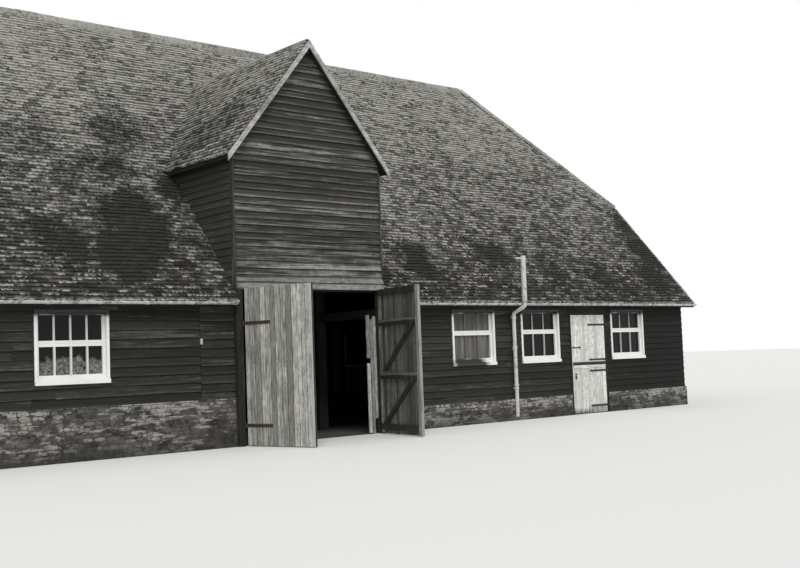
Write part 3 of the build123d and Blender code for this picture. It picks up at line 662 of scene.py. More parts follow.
# Outside the walls this is near black, as painted shade in the gaps between the weatherboards; indoors it is
# pale, as bare wood and painted light that brightens the dim inside
bare_board = board_material(
    "bare_board", (0.010, 0.0095, 0.009), (0.024, 0.023, 0.021), (0.04, 0.039, 0.036), 0.2, (1.0, 22.0, 22.0),
    inside=(0.34, 0.318, 0.275))
grey_plank = board_material(
    "grey_plank", *leaf_outside, 0.50, stretch=(2.2, 32.0, 32.0), tones=(0.90, 1.12),
    inner_face=(left_leaf, 0.030, *leaf_inside),
    pale_end=(left_leaf, leaf_span - 0.020, (0.46, 0.455, 0.425)))
dark_plank = board_material(
    "dark_plank", *leaf_outside, 0.30, stretch=(1.6, 32.0, 32.0), tones=(0.70, 1.35),
    inner_face=(right_leaf, 0.030, *leaf_inside),
    pale_end=(right_leaf, leaf_span - 0.035, (0.33, 0.325, 0.30)))
white_plank = board_material(
    "white_plank", (0.42, 0.415, 0.39), (0.67, 0.665, 0.63), (0.72, 0.715, 0.68), 0.75,
    dirty_foot=0.16, tones=(0.92, 1.07))
left_ledge = board_material(
    "left_ledge", (0.020, 0.019, 0.017), (0.055, 0.053, 0.048), (0.10, 0.098, 0.09), 0.3, (9.0, 9.0, 1.2))
# The right leaf's ledges are dark over their lower part, as dirt and painted shadow, with pale top edges in
# the boards' own tone
right_ledge = board_material(
    "right_ledge", (0.018, 0.0172, 0.0155), (0.048, 0.0465, 0.042), (0.08, 0.078, 0.071), 0.2,
    (9.0, 9.0, 1.2),
    pale_end=(right_leaf, side_gap + leaf_span - free_stile, (0.31, 0.305, 0.28)),
    pale_tops=[(middle + 0.012, middle + 0.060, (0.18, 0.176, 0.16)) for middle in (1.160, 2.220)])
oak = ((0.018, 0.0165, 0.014), (0.052, 0.048, 0.041), (0.07, 0.065, 0.056), 0.3)
oak_upright = board_material("oak_upright", *oak, (16.0, 16.0, 1.0))
oak_cross = board_material("oak_cross", *oak, (14.0, 1.0, 14.0))
oak_long = board_material("oak_long", *oak, (1.0, 14.0, 14.0))
post_wood = board_material(
    "post_wood", (0.012, 0.0115, 0.0105), (0.032, 0.031, 0.028), (0.07, 0.068, 0.062), 0.25,
    (16.0, 16.0, 1.0))
pale_wood = board_material(
    "pale_wood", (0.13, 0.127, 0.115), (0.44, 0.435, 0.405), (0.52, 0.515, 0.475), 0.45,
    stretch=(3.0, 20.0, 20.0), tones=(0.75, 1.2))
barge_wood = board_material(
    "barge_wood", (0.24, 0.237, 0.22), (0.44, 0.435, 0.41), (0.52, 0.515, 0.485), 0.4, (2.0, 2.0, 6.0))
white_paint = paint_material("white_paint", (0.86, 0.855, 0.83), (0.36, 0.35, 0.32), 0.30, 0.25, sashes=True)
latch_paint = paint_material("latch_paint", (0.62, 0.615, 0.59), (0.30, 0.29, 0.26), 0.3, 0.3)
brick = masonry_material("brick_and_flint")
iron = iron_material("old_iron", (0.028, 0.026, 0.024), (0.055, 0.040, 0.030), 0.5)
zinc = iron_material("worn_zinc", (0.36, 0.37, 0.37), (0.17, 0.17, 0.165), 0.55, 0.5)
gutter_iron = iron_material("gutter_iron", (0.62, 0.64, 0.61), (0.22, 0.22, 0.20), 0.42)
pipe_iron = iron_material("pipe_iron", (0.64, 0.635, 0.605), (0.34, 0.33, 0.30), 0.30, 0.55)
glass = glass_material("old_glass")

# The CAD nodes keep their shapes and get these materials
node_materials = {
    tile_bed: ("roof_front", "roof_back", "roof_half_hips", "porch_roof_left", "porch_roof_right"),
    bare_board: ("wall_front_left", "boarded_panel", "wall_front_middle", "wall_over_stable_door",
                 "wall_front_right", "wall_back", "wall_ends", "porch_gable", "porch_cheeks", "stable_frame"),
    post_wood: ("door_posts",),
    barge_wood: ("porch_bargeboards",),
    mortar: ("plinth",),
    white_paint: ("window_frames",),
    glass: ("window_glass",),
    oak_upright: ("wall_posts", "end_posts", "arcade_posts", "crown_struts"),
    oak_long: ("plates", "purlins"),
    oak_cross: ("tie_beams", "arch_braces", "principal_rafters", "collars", "common_rafters",
                "doorway_head"),
    gutter_iron: ("gutters",),
    pipe_iron: ("vent_pipe", "vent_pipe_clips"),
    left_ledge: ("left_leaf_ledges",),
    right_ledge: ("right_leaf_ledges",),
    iron: ("left_leaf_straps", "right_leaf_straps", "stable_lower_straps", "stable_upper_straps",
           "hinge_pins"),
}
for material, nodes in node_materials.items():
    for node in nodes:
        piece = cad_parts[node]
        if not piece.material_slots:
            piece.data.materials.append(material)
        for place in piece.material_slots:
            place.material = material


# Roof tiles

main_slope = math.hypot(1, main_rate)
main_length = eaves_half_depth * main_slope
eaves_level = ridge_height - main_rate * eaves_half_depth
hip_slope = math.hypot(1, hip_rate)
hip_length = (verge_half_length - ridge_half_length) * hip_slope
hip_foot_level = ridge_height - hip_rate * (verge_half_length - ridge_half_length)
hip_half_depth = hip_rate / main_rate * (verge_half_length - ridge_half_length)
porch_slope = math.hypot(1, porch_rate)
porch_length = porch_eaves_half * porch_slope
porch_eaves_level = porch_ridge_height - porch_rate * porch_eaves_half
porch_ridge_drop = ridge_height - porch_ridge_height
valley_foot = (porch_ridge_drop + porch_rate * porch_eaves_half) / main_rate


def roof_swell(along, rise):
    """How far the old roof's surface swells off its flat face: low over the bays, high over the trusses."""
    swell = 0.011 + 0.007 * math.sin(along * 1.71 + 0.6) + 0.006 * math.sin(along * 0.83 + rise * 0.9 + 2.0)
    return swell + 0.004 * math.sin(rise * 2.1 + along * 0.37)


def slope_axes(downhill, reach, foot_level, rate):
    """A roof slope's axes from the middle of its eaves: along them, out of its face and up it."""
    outwards = (downhill * rate + Z).normalized()
    uphill = (Z * rate - downhill).normalized()
    return Axes(downhill * reach + Z * foot_level, Z.cross(downhill), outwards, uphill)


def lay_tiles(name, axes, length, spans, seed, eaves_crust=0.75):
    """Courses of plain tiles up a slope. spans(s) gives the clear stretches at a distance s up it."""
    draw = np.random.default_rng(seed)
    shell = Shell()
    faces = [(0, 1, 2, 3), (4, 7, 6, 5), (0, 4, 5, 1), (1, 5, 6, 2), (2, 6, 7, 3), (3, 7, 4, 0)]
    for course in range(int(length / tile_gauge) + 1):
        tail_s = course * tile_gauge - (0 if course else eaves_drop)
        head_s = min((course + 1) * tile_gauge + tile_lap, length)
        if head_s - tail_s < tile_lap:
            continue
        bond = (course % 2) * tile_width / 2 + draw.normal(0, 0.006)
        course_s = draw.normal(0, 0.003)
        wander = 0.010 if course else 0.0
        for (low_tail, high_tail), (low_head, high_head) in zip(spans(max(tail_s, 0)), spans(head_s)):
            first = math.floor((min(low_tail, low_head) - bond) / tile_width)
            last = math.ceil((max(high_tail, high_head) - bond) / tile_width)
            for column in range(first, last):
                left = bond + column * tile_width + draw.normal(0, 0.0018)
                right = left + tile_width - tile_gap
                ends = [max(left, low_tail), min(right, high_tail),
                        min(right, high_head), max(left, low_head)]
                if ends[1] - ends[0] < least_width and ends[2] - ends[3] < least_width:
                    continue
                ends[1] = max(ends[1], ends[0] + cut_tile_end)
                ends[2] = max(ends[2], ends[3] + cut_tile_end)
                slip = draw.normal(0, 0.004) + course_s
                slip -= 0.03 * draw.random() if draw.random() < 0.015 else 0
                slip += wander * math.sin(left * 0.83 + tail_s * 0.31)
                slip += wander * 0.5 * math.sin(left * 2.17 + tail_s)
                tail = tile_tail + draw.normal(0, 0.0032)
                twist = draw.normal(0, 0.0026)
                shade, crust = draw.random(), draw.random()
                if course == 0:
                    crust = eaves_crust + (1 - eaves_crust) * crust
                rise = (tail_s + slip, tail_s + slip, head_s, head_s)
                lifts = (tail - twist, tail + twist, tile_head, tile_head)
                top = [axes.at(a, lift + roof_swell(a, s), s) for a, s, lift in zip(ends, rise, lifts)]
                bottom = [axes.at(a, -0.002, s) for a, s in zip(ends, rise)]
                tones = [(shade, 0.0, crust)] * 2 + [(shade, 1.0, crust)] * 2
                shell.add(top + bottom, faces, tone=tones * 2)
    shell.make(name, tile)


def main_limit(s):
    """Half the length of a main slope at a distance s up it."""
    depth = max(eaves_half_depth - s / main_slope, 0.0)
    return min(verge_half_length, ridge_half_length + depth * main_rate / hip_rate) - verge_gap


def back_spans(s):
    return [(-main_limit(s), main_limit(s))]


def front_spans(s):
    """The front slope is broken by the cart entrance and its roof, below the porch ridge."""
    depth = eaves_half_depth - s / main_slope
    if depth > valley_foot:
        inner = porch_half_width + slope_gap
    else:
        inner = max((main_rate * depth - porch_ridge_drop) / porch_rate, 0.0) + valley_gap
    return [(-main_limit(s), -inner), (inner, main_limit(s))]


def hip_spans(s):
    half = max((hip_length - s) / hip_slope * hip_rate / main_rate - slope_gap, 0.0)
    return [(-half, half)]


def porch_spans(side):
    """The stretches of a porch slope, from the gable's verge back to the valley."""
    def spans(s):
        across = porch_eaves_half - s / porch_slope
        back = (porch_ridge_drop + porch_rate * across) / main_rate
        low, high = sorted((-side * porch_roof_front, -side * back))
        return [(low + slope_gap, high - slope_gap)]
    return spans


for name, face, spans, seed in (("tiles_front", -1, front_spans, 3), ("tiles_back", 1, back_spans, 5)):
    axes = slope_axes(face * Y, eaves_half_depth, eaves_level, main_rate)
    lay_tiles(name, axes, main_length, spans, seed)
for name, side, seed in (("tiles_left_hip", -1, 7), ("tiles_right_hip", 1, 11)):
    axes = slope_axes(side * X, verge_half_length, hip_foot_level, hip_rate)
    lay_tiles(name, axes, hip_length, hip_spans, seed)
for name, side, seed in (("tiles_porch_left", -1, 13), ("tiles_porch_right", 1, 17)):
    axes = slope_axes(side * X, porch_eaves_half, porch_eaves_level, porch_rate)
    lay_tiles(name, axes, porch_length, porch_spans(side), seed, eaves_crust=0.0)


# Ridge tiles, hip tiles and the mortar of the verges

def cap_tiles(shell, draw, start, finish, half_width, steepness, rise, tile_length, tones=(0.35, 0.75)):
    """Half-round tiles laid end to end from start to finish, each a little out of line."""
    start, finish = Vector(start), Vector(finish)
    line = (finish - start).normalized()
    side = line.cross(Z).normalized()
    axes = Axes(start, line, side, side.cross(line).normalized())
    count = max(1, round((finish - start).length / tile_length))
    step = (finish - start).length / count
    for index in range(count):
        lift = draw.uniform(-0.004, 0.006)
        tilt = draw.uniform(-0.004, 0.004)
        tone = (draw.uniform(*tones), 0.3, draw.random())
        near = (index * step + cap_gap, lift)
        far = ((index + 1) * step - cap_gap, lift + tilt)
        points = []
        for arc in range(cap_arcs + 1):
            turn = math.pi * arc / cap_arcs
            for (place, raised), skin in ((near, 0.0), (far, 0.0), (far, cap_skin), (near, cap_skin)):
                across = -math.cos(turn) * (half_width - skin)
                height = steepness * half_width * (math.sin(turn) - 1) + math.sin(turn) ** 0.8 * (rise - skin)
                points.append(axes.at(place, across, height + raised))
        shell.bar(points, tone=tone)


draw = random.Random(21)
main_caps = Shell()
main_caps_level = ridge_height + 0.012
cap_tiles(main_caps, draw, (-ridge_half_length, 0, main_caps_level), (ridge_half_length, 0, main_caps_level),
          half_width=0.155, steepness=main_rate, rise=0.062, tile_length=0.45)
porch_caps = Shell()
porch_caps_level = porch_ridge_height + 0.004
cap_tiles(porch_caps, draw, (0, 0.03 - porch_roof_front, porch_caps_level),
          (0, 0.05 - porch_ridge_drop / main_rate, porch_caps_level),
          half_width=0.115, steepness=porch_rate, rise=0.040, tile_length=0.40)
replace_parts(main_caps.make("ridge_tiles_main", tile), "ridge_tiles")
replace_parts(porch_caps.make("ridge_tiles_porch", tile), "ridge_tiles")

hips = Shell()
verges = Shell()
verge_length = (eaves_half_depth - hip_half_depth) * main_slope
for side in (-1, 1):
    for face in (-1, 1):
        top = (side * (ridge_half_length + 0.05), face * 0.06, ridge_height + 0.02)
        foot = (side * verge_half_length, face * hip_half_depth, hip_foot_level + 0.058)
        cap_tiles(hips, draw, top, foot, half_width=0.085, steepness=0.62, rise=0.040, tile_length=0.33,
                  tones=(0.6, 1.0))
        axes = slope_axes(face * Y, eaves_half_depth, eaves_level, main_rate)
        low, high = sorted(-side * face * (verge_half_length + past) for past in verge_mortar)
        start = 0.0
        while start < verge_length - 0.02:
            stop = min(start + draw.uniform(0.25, 0.6), verge_length)
            verges.box(axes, (low, -0.035, start), (high, 0.040 + draw.uniform(-0.004, 0.005), stop))
            start = stop
hips.make("hip_tiles", tile)
verges.make("verge_mortar", hip_mortar)


# Weatherboards

def board_stretches(low, high, openings, foot, head):
    """The parts of one course between its ends, left by the openings, as (from, to, foot, head)."""
    cuts = sorted({low, high, *[edge for box in openings for edge in box[:2] if low < edge < high]})
    for start, finish in zip(cuts[:-1], cuts[1:]):
        middle = (start + finish) / 2
        piece_foot, piece_head = foot, head
        for left, right, bottom, top in openings:
            if left < middle < right:
                if bottom <= foot and top >= head:
                    piece_foot, piece_head = 0, 0
                elif bottom > foot and bottom < head:
                    piece_head = min(piece_head, bottom)
                elif top > foot and top < head:
                    piece_foot = max(piece_foot, top)
        if piece_head - piece_foot > least_width:
            yield start, finish, piece_foot, piece_head


def board_wall(name, axes, foot, head, exposure, extent, seed, openings=(), material=black_board,
               lengths=(2.2, 4.4), sag=0.004, stand=board_tail):
    """Lapped boards on a wall. extent(z) gives the wall's ends at a height, lengths the boards' limits."""
    draw = np.random.default_rng(seed)
    shell = Shell()
    for course in range(math.ceil((head - foot) / exposure)):
        low = foot + course * exposure + (draw.normal(0, 0.004) if course else 0)
        high = min(foot + (course + 1) * exposure + board_lap, head)
        if high - low < least_course:
            continue
        left_low, right_low = extent(low)
        left_high, right_high = extent(high)
        left, right = min(left_low, left_high), max(right_low, right_high)
        if right - left < least_board:
            continue
        ends = [left]
        while right - ends[-1] > lengths[1]:
            ends.append(ends[-1] + draw.uniform(*lengths))
        ends.append(right)
        waves = draw.uniform(0, 6.28, 3)
        for start, finish in zip(ends[:-1], ends[1:]):
            tone = tuple(draw.random(3))
            drop, lean = draw.normal(0, 0.0035), draw.normal(0, 0.0025)
            for a0, a1, z0, z1 in board_stretches(start, finish, openings, low, high):
                steps = max(1, int((a1 - a0) / board_step))
                foot_stand = board_head + (stand - board_head) * (high - z0) / (high - low)
                head_stand = board_head + (stand - board_head) * (high - z1) / (high - low)
                points, grain = [], []
                for step in range(steps + 1):
                    a = a0 + board_inset + (a1 - a0 - 2 * board_inset) * step / steps
                    wave = sag * math.sin(a * 0.9 + waves[0]) + 0.5 * sag * math.sin(a * 2.7 + waves[1])
                    wave += drop + lean * (a - start) / max(finish - start, 0.5)
                    z_low = z0 + (wave if z0 == low and course else 0)
                    lift = 0.0016 * math.sin(a * 1.9 + waves[2])
                    a_low = min(max(a, left_low), right_low)
                    a_high = min(max(a, left_high), right_high)
                    for place, out, z in ((a_low, 0.0, z_low), (a_low, foot_stand + lift, z_low),
                                          (a_high, head_stand, z1), (a_high, 0.0, z1)):
                        points.append(axes.at(place, out, z))
                        grain.append((place, z - low, tone[0] * 41 + course))
                shell.bar(points, grain, tone, axes.hand > 0)
    shell.make(name, material)


def upright_ends(low, high):
    return lambda z: (low, high)


def end_extent(z):
    """Half the barn's depth at a height, under the roof covering."""
    half = min(wall_face, (ridge_height - cover_drop - z) / main_rate)
    return -half, half


def gable_extent(z):
    """The gable's half width at a height. Its lowest boards reach over the right corner."""
    half = min(porch_half_width, (porch_ridge_height - cover_drop - z) / porch_rate)
    return -half, half + (0.045 if z < gable_reach_top else 0.0)


def cheek_extent(side):
    """The stretches of a cheek, from the gable back to the main roof."""
    def extent(z):
        back = min(-(ridge_height - z) / main_rate + 0.05, -3.0)
        return tuple(sorted((-side * (porch_face + 0.02), side * back)))
    return extent


gable_reach_top = 3.05
right_corner_foot = 3.18
cheek_foot = 2.86
window_foot = window_top - window_height
window_boxes = [(place, place + window_width, window_foot, window_top) for place in front_windows]
back_boxes = [(-place - window_width, -place, window_foot, window_top) for place in back_windows]
back_wall = facing(Y, wall_face)
gable = facing(-Y, porch_face)
stable_outer_left = stable_left - stable_frame_width
stable_outer_right = stable_right + stable_frame_width
for name, low, high, foot, exposure, seed in (
    ("boards_front_left", -wall_half_length, panel_left - 0.004, plinth_height_left, wall_exposure, 31),
    ("boards_panel", panel_left + 0.004, -porch_half_width, plinth_height_left - 0.03, wall_exposure, 32),
    ("boards_front_middle", porch_half_width, stable_outer_left, plinth_height_right, right_exposure, 33),
    ("boards_over_stable_door", stable_outer_left, stable_outer_right, stable_frame_top, right_exposure, 34),
    ("boards_front_right", stable_outer_right, wall_half_length, plinth_height_right, right_exposure, 35),
):
    slot = "panel_board" if name == "boards_panel" else "board"
    board_wall(name, facing(-Y, wall_face), foot, wall_top, exposure, upright_ends(low, high), seed,
               window_boxes)
board_wall("boards_back", back_wall, plinth_height_left, wall_top, wall_exposure,
           upright_ends(-wall_half_length, wall_half_length), 36, back_boxes)
board_wall("boards_back_low", back_wall, plinth_height_right, plinth_height_left, low_exposure,
           upright_ends(-wall_half_length, 0), 37)

end_head = ridge_height - cover_drop - hip_rate * (wall_half_length + 0.03 - ridge_half_length)
for name, side, foot, seed in (
    ("boards_left_end", -1, plinth_height_left, 38),
    ("boards_right_end", 1, plinth_height_right, 39),
):
    board_wall(name, facing(side * X, wall_half_length), foot, end_head, wall_exposure, end_extent, seed)

board_wall("boards_gable", gable, doorway_height - 0.03, porch_ridge_height - cover_drop, porch_exposure,
           gable_extent, 41, material=gable_board, sag=0.005)
cheek_head = porch_ridge_height - cover_drop - porch_rate * (porch_half_width + 0.03)
for name, side, seed in (("boards_left_cheek", -1, 43), ("boards_right_cheek", 1, 44)):
    board_wall(name, facing(side * X, porch_half_width), cheek_foot, cheek_head, porch_exposure,
               cheek_extent(side), seed, material=cheek_board, lengths=(3.0, 5.0), stand=0.016)


def blocks(name, material, axes, corners, body="barn"):
    """A piece of squared blocks, each given by two opposite corners."""
    shell = Shell()
    for low, high in corners:
        shell.box(axes, low, high)
    shell.make(name, material, body)


corner_head = porch_eaves_level - 0.06
corner_inner = porch_half_width - 0.020
corner_outer = porch_half_width + 0.024
blocks("porch_corner_boards", corner_board, gable, [
    ((-corner_outer, -0.04, doorway_height - 0.02), (-corner_inner, 0.036, corner_head)),
    ((corner_inner, -0.04, right_corner_foot), (corner_outer, 0.036, corner_head)),
])


# Door leaves

def planks(shell, leaf, start, finish, foot, head, near, far, width, draw, ragged=0.006, gap=0.004):
    """Upright planks side by side, each a little different in width, length and set."""
    steps = 6
    place = start
    while place < finish - 0.03:
        wide = min(width * draw.uniform(0.82, 1.18), finish - place)
        if finish - place - wide < 0.05:
            wide = finish - place
        low = foot + abs(draw.gauss(0, ragged))
        high = head - abs(draw.gauss(0, ragged))
        face = near + draw.uniform(0, 0.003)
        tone = (draw.random(), draw.random(), draw.random())
        bow = draw.gauss(0, 0.0012)
        left = place + gap / 2
        right = place + wide - gap / 2
        points, grain = [], []
        for step in range(steps + 1):
            z = low + (high - low) * step / steps
            shift = bow * math.sin(math.pi * step / steps)
            for a, depth in ((left, face), (left, far), (right, far), (right, face)):
                points.append(leaf.at(a + shift, depth, z))
                grain.append((z, a, tone[0] * 29))
        shell.bar(points, grain, tone, leaf.hand < 0)
        place += wide


def studs(shell, leaf, places, depth, radius=0.011, rise=0.006):
    """Domed nail and bolt heads on a leaf's face, at (along, height)."""
    sides = 8
    faces = [tuple(range(sides))]
    for index in range(sides):
        other = (index + 1) % sides
        faces.append((index, sides + index, sides + other, other))
        faces.append((sides + index, 2 * sides, sides + other))
    for a, z in places:
        points = []
        for reach, proud in ((1.0, 0.0), (0.75, 0.7 * rise), (0.0, rise)):
            for index in range(sides if reach else 1):
                turn = 2 * math.pi * index / sides
                points.append(leaf.at(a + math.cos(turn) * radius * reach, depth - proud,
                                      z + math.sin(turn) * radius * reach))
        shell.add(points, faces, flip=leaf.hand > 0)


for name, leaf, material, seed in (
    ("left_leaf", left_leaf, grey_plank, 51),
    ("right_leaf", right_leaf, dark_plank, 52),
):
    shell = Shell()
    planks(shell, leaf, side_gap, side_gap + leaf_span, leaf_foot, leaf_top, eye_radius,
           eye_radius + leaf_board, leaf_plank, random.Random(seed), gap=leaf_plank_gap)
    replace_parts(shell.make(f"{name}_planks", material, name), f"{name}_boards")

# Each stable leaf: foot, head, the heights of its ledges, and the foot and head of its rail
lower_head = stable_split - split_gap
upper_foot = stable_split + split_gap
stable_edge = side_gap + stable_span
stable_back = eye_radius + stable_board
rail_tone = (0.75, 0.5, 0.2)
for name, foot, head, ledges, rail_low, rail_high, seed in (
    ("stable_lower", leaf_foot, lower_head, stable_lower_straps, lower_head - 0.070, lower_head - 0.004, 53),
    ("stable_upper", upper_foot, stable_top, stable_upper_straps, upper_foot + 0.030, upper_foot + 0.092, 54),
):
    shell = Shell()
    planks(shell, stable_leaf, side_gap, stable_edge, foot, head, eye_radius, stable_back, stable_plank,
           random.Random(seed), ragged=0.002)
    for middle in ledges:
        shell.box(stable_leaf, (0.07, stable_back, middle - stable_ledge_half),
                  (stable_edge, stable_back + stable_ledge_depth, middle + stable_ledge_half))
    shell.box(stable_leaf, (rail_inset, 0.002, rail_low),
              (stable_span - rail_inset, eye_radius, rail_high), rail_tone)
    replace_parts(shell.make(f"{name}_planks", white_plank, name), f"{name}_leaf")

# Bolt heads on the straps, plates at the lower leaf's free edge, and the upper leaf's bolt and its keepers
lower_plates = [((stable_span - 0.135, 0.011, 0.937), (stable_span - 0.070, 0.016, 0.973)),
                ((stable_span - 0.135, 0.011, 0.842), (stable_span - 0.070, 0.016, 0.918))]
upper_bolt = [((stable_span - 0.300, 0.004, 1.583), (stable_span + 0.004, 0.015, 1.603)),
              ((stable_span - 0.272, 0.001, 1.570), (stable_span - 0.248, 0.016, 1.616)),
              ((stable_span - 0.072, 0.001, 1.570), (stable_span - 0.048, 0.016, 1.616))]
for name, leaf, heights, length, plates in (
    ("left_leaf", left_leaf, strap_heights, strap_length, []),
    ("right_leaf", right_leaf, strap_heights, strap_length, []),
    ("stable_lower", stable_leaf, stable_lower_straps, stable_strap_length, lower_plates),
    ("stable_upper", stable_leaf, stable_upper_straps, stable_strap_length, upper_bolt),
):
    shell = Shell()
    studs(shell, leaf, [(length * share, z) for z in heights for share in (0.22, 0.58, 0.93)], strap_face)
    for low, high in plates:
        shell.box(leaf, low, high)
    shell.make(f"{name}_fixings", iron, name)

# A dark rail at the foot of the upper stable leaf: dirty wood, darkened as painted shadow over the split
# between the leaves
blocks("stable_upper_shaded_drip", left_ledge, stable_leaf, [
    ((0.020, 0.0, stable_split + 0.005), (stable_span - 0.010, 0.020, stable_split + 0.068)),
], "stable_upper")
blocks("stable_kick_plate", zinc, stable_leaf, [
    ((0.016, 0.012, 0.022), (0.630, 0.016, 0.155)),
], "stable_lower")

# A split, weathered board inside the cart entrance's right jamb, as from, to, foot and head of each splinter
jamb = Axes((jamb_left, jamb_front, 0), X, Y)
jamb_shell = Shell()
draw = random.Random(77)
for start, finish, foot, head in (
    (0.000, 0.088, 1.52, 2.40),
    (0.000, 0.080, 0.02, 1.44),
    (0.088, 0.168, 0.00, 2.31),
    (0.170, 0.245, 0.30, 2.37),
    (0.245, 0.325, 0.00, 2.38),
):
    planks(jamb_shell, jamb, start, finish, foot, head, 0.002, 0.032, width=0.2, draw=draw, ragged=0.01,
           gap=0.012)
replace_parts(jamb_shell.make("jamb_board_split", pale_wood), "jamb_board")

# A white latch on the closed opening
latch = Axes((panel_left + 0.02, -wall_face, latch_height), X, Y)
blocks("panel_latch", latch_paint, latch, [
    ((-0.017, -0.044, -0.050), (0.017, -0.010, 0.050)),
    ((-0.008, -0.062, -0.012), (0.008, -0.044, 0.030)),
])


# Window sashes

def sash(shell, side, place, foot, head, stand, low_rail, high_rail, panes, bar, grime):
    """A sash in front of the glass: two stiles, two rails between them, and grimy bars between its panes."""
    low = place + window_frame
    high = place + window_width - window_frame
    left, right = low + sash_stile, high - sash_stile
    clear = (right - left - (panes - 1) * bar) / panes
    timbers = [(low, left, foot, head, stand, 0.0),
               (right, high, foot, head, stand, 0.0),
               (left, right, foot, foot + low_rail, stand, 0.0),
               (left, right, head - high_rail, head, stand, 0.0)]
    for index in range(1, panes):
        start = left + index * clear + (index - 1) * bar
        timbers.append((start, start + bar, foot + low_rail, head - high_rail, stand - 0.006, grime))
    for x_low, x_high, z_low, z_high, face, dirt in timbers:
        y_low, y_high = sorted((side * (glass_line + sash_gap), side * (glass_line + face)))
        shell.box(world_axes, (x_low, y_low, z_low), (x_high, y_high, z_high), (0.0, 0.0, dirt))


# Where the sashes meet, the panes across, a bar's width and its grime, left and right of the entrance
left_glazing = (1.945, 4, 0.034, 0.3)
right_glazing = (1.988, 3, 0.022, 0.55)
sashes = Shell()
sash_foot = window_foot + window_sill
sash_head = window_top - window_frame
for side, place in [(-1, place) for place in front_windows] + [(1, place) for place in back_windows]:
    meeting, panes, bar, grime = left_glazing if place < 0 else right_glazing
    glazing = (panes, bar, 1.0 if place == blind_window else grime)
    sash(sashes, side, place, sash_foot, meeting + 0.003, lower_sash_stand, bottom_rail,
         lower_meeting_rail, *glazing)
    sash(sashes, side, place, meeting + 0.005, sash_head, upper_sash_stand, upper_meeting_rail,
         top_rail, *glazing)
sashes.make("window_sashes", white_paint)


# Rainwater goods and the vent pipe

def hoop(shell, centre, axis, first, inner, outer, width, turn, steps):
    """Part of a flat ring: from the first direction, turning about the axis by an angle."""
    axes = Axes(centre, axis, first, axis.cross(first))
    points = []
    for step in range(steps + 1):
        angle = turn * step / steps
        for end, radius in ((-width / 2, inner), (-width / 2, outer), (width / 2, outer), (width / 2, inner)):
            points.append(axes.at(end, radius * math.cos(angle), radius * math.sin(angle)))
    shell.bar(points)


gutter_fittings = Shell()
for face, low, high in (
    (-1, -verge_half_length, -gutter_start),
    (-1, gutter_start, verge_half_length),
    (1, -verge_half_length, verge_half_length),
):
    count = round((high - low) / bracket_gauge)
    for index in range(count + 1):
        x = low + 0.06 + (high - low - 0.12) * index / count
        wide = bracket_width if index % 2 else union_width
        hoop(gutter_fittings, (x, face * gutter_line, gutter_rim), X, -Y, gutter_radius + fitting_gap,
             gutter_radius + 0.006, wide, math.pi, 10)
gutter_fittings.make("gutter_fittings", gutter_iron)

# The pipe's collars and the stouter sleeve above the gutter: place, line, foot, head and how far out
pipe_fittings = Shell()
for x, line, foot, head, proud in (
    (vent_place, vent_line, 2.2825, 2.3175, 0.013),
    (vent_place, vent_line, 1.635, 1.675, 0.014),
    (vent_place, vent_line, 0.780, 0.820, 0.013),
    (vent_upper_place, vent_upper_line, 2.670, 2.730, 0.012),
    (vent_upper_place, vent_upper_line, 2.730, 3.696, 0.013),
):
    hoop(pipe_fittings, (x, -line, (foot + head) / 2), Z, X, vent_radius + fitting_gap, vent_radius + proud,
         head - foot, 2 * math.pi, 20)
pipe_fittings.make("pipe_fittings", pipe_iron)


# Brick and flint facing of the plinth

def flint(shell, axes, a, z, half_long, half_high, draw):
    """A rounded stone bedded in the wall."""
    sides = 8
    proud = draw.uniform(0.006, 0.018)
    tone = (draw.random(), 1.0, draw.random())
    points = []
    for reach, depth in ((1.0, -0.015), (0.92, proud * 0.35), (0.55, proud)):
        for index in range(sides):
            turn = 2 * math.pi * (index + 0.3) / sides
            reach_here = reach * draw.uniform(0.88, 1.06)
            across = math.cos(turn) * half_long * reach_here
            rise = math.sin(turn) * half_high * reach_here
            points.append(axes.at(a + across, depth, max(z + rise, 0.001)))
    faces = [tuple(range(2 * sides, 3 * sides)), tuple(reversed(range(sides)))]
    for ring in (0, sides):
        for index in range(sides):
            other = (index + 1) % sides
            faces.append((ring + index, ring + other, ring + sides + other, ring + sides + index))
    shell.add(points, faces, tone=tone, flip=axes.hand > 0)


def face_masonry(shell, axes, low, high, top, draw):
    """Rough brick courses, with flints let in and patches of rubble, over a stretch of plinth."""
    z = 0.0
    while z < top - 0.03:
        rise = min(brick_rise + draw.uniform(-0.006, 0.006), top - z)
        a = low - draw.uniform(0, 0.2)
        while a < high:
            length = draw.choice(brick_lengths) + draw.uniform(-0.012, 0.012)
            start, finish = max(a + brick_joint, low), min(a + length - brick_joint, high)
            if finish - start > 0.03:
                patchy = math.sin(start * 1.3 + z * 4) + math.sin(start * 0.47 + 1) + draw.uniform(-1.0, 1.0)
                if patchy > 0.35:
                    flint(shell, axes, (start + finish) / 2, z + rise / 2, (finish - start) / 2 + 0.008,
                          rise / 2 + 0.006, draw)
                else:
                    tone = (draw.random() ** 1.5, 0.0, draw.random())
                    face = draw.uniform(0.001, 0.009)
                    shell.box(axes, (start, -brick_depth, z + bed_joint),
                              (finish, face, z + rise - bed_joint), tone)
            a += length
        z += rise


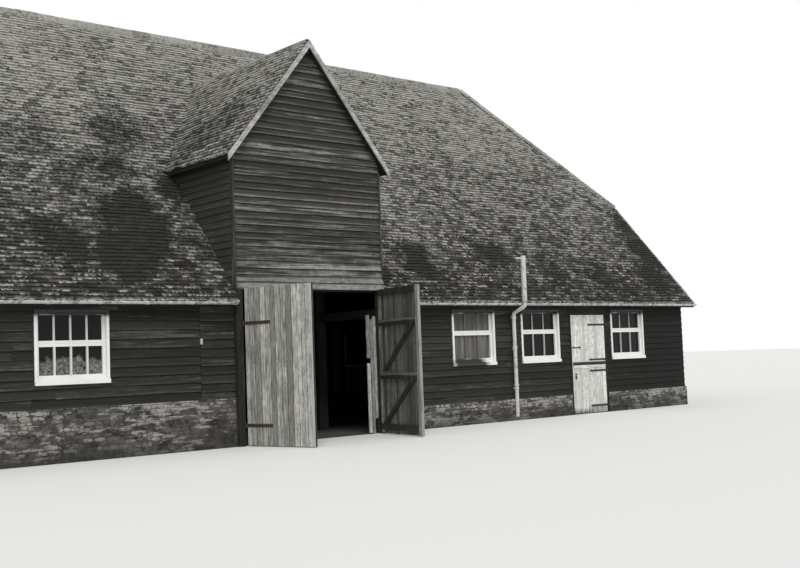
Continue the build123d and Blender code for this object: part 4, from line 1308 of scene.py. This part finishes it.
plinth_facing = Shell()
draw = random.Random(61)
plinth_end = wall_half_length + 0.04
front_plinth = facing(-Y, plinth_face)
back_plinth = facing(Y, plinth_face)
for axes, low, high, top in (
    (front_plinth, -plinth_end, -porch_half_width, plinth_height_left),
    (front_plinth, porch_half_width, stable_outer_left, plinth_height_right),
    (front_plinth, stable_outer_right, plinth_end, plinth_height_right),
    (back_plinth, 0, plinth_end, plinth_height_left),
    (back_plinth, -plinth_end, 0, plinth_height_right),
    (facing(-X, plinth_end), -plinth_face, plinth_face, plinth_height_left),
    (facing(X, plinth_end), -plinth_face, plinth_face, plinth_height_right),
):
    face_masonry(plinth_facing, axes, low, high, top, draw)
plinth_facing.make("plinth_facing", brick)


# Floor, background, light and camera

floor_reach = 260
floor_corners = [(x * floor_reach, y * floor_reach, 0) for x, y in ((-1, -1), (1, -1), (1, 1), (-1, 1))]
floor_mesh = bpy.data.meshes.new("floor")
floor_mesh.from_pydata(floor_corners, [], [(0, 1, 2, 3)])
floor = bpy.data.objects.new("floor", floor_mesh)
bpy.context.scene.collection.objects.link(floor)
ground = Paint("floor_pale")
earth = ground.place.within_walls().mix((0.80, 0.80, 0.79), (0.085, 0.081, 0.074))
floor_mesh.materials.append(ground.finish(earth, 0.95, specular=0.1))

world = bpy.data.worlds.new("soft_sky")
bpy.context.scene.world = world
world.use_nodes = True
sky = world.node_tree
sky.nodes.clear()
rays = add_node(sky, "LightPath").outputs
seen, glossy, passing = (Value(sky, rays[f"Is {kind} Ray"]) for kind in ("Camera", "Glossy", "Transmission"))
sky_strength = (seen + glossy + passing).remap(0, 1, sky_light, 1.0)
background = add_node(sky, "Background", {"Color": (1.0, 1.0, 1.0, 1.0), "Strength": sky_strength})
add_node(sky, "OutputWorld", {0: Value(sky, background.outputs[0])})

sun_data = bpy.data.lights.new("sun", "SUN")
sun_data.energy = sun_strength
sun_data.angle = sun_spread
sun = bpy.data.objects.new("sun", sun_data)
sun.rotation_mode = "QUATERNION"
sun.rotation_quaternion = sun_direction.to_track_quat("-Z", "Y")
bpy.context.scene.collection.objects.link(sun)

camera_data = bpy.data.cameras.new("camera")
camera_data.sensor_width = 36
camera_data.sensor_fit = "HORIZONTAL"
camera_data.lens = camera_lens
camera_data.clip_end = 1000
camera = bpy.data.objects.new("camera", camera_data)
right = camera_right.normalized()
forward = camera_forward.normalized()
up = right.cross(forward).normalized()
forward = up.cross(right).normalized()
camera.matrix_world = Matrix((
    (right.x, up.x, -forward.x, camera_place.x),
    (right.y, up.y, -forward.y, camera_place.y),
    (right.z, up.z, -forward.z, camera_place.z),
    (0, 0, 0, 1),
))
bpy.context.scene.collection.objects.link(camera)
bpy.context.scene.camera = camera
bpy.context.scene.view_settings.view_transform = "Standard"
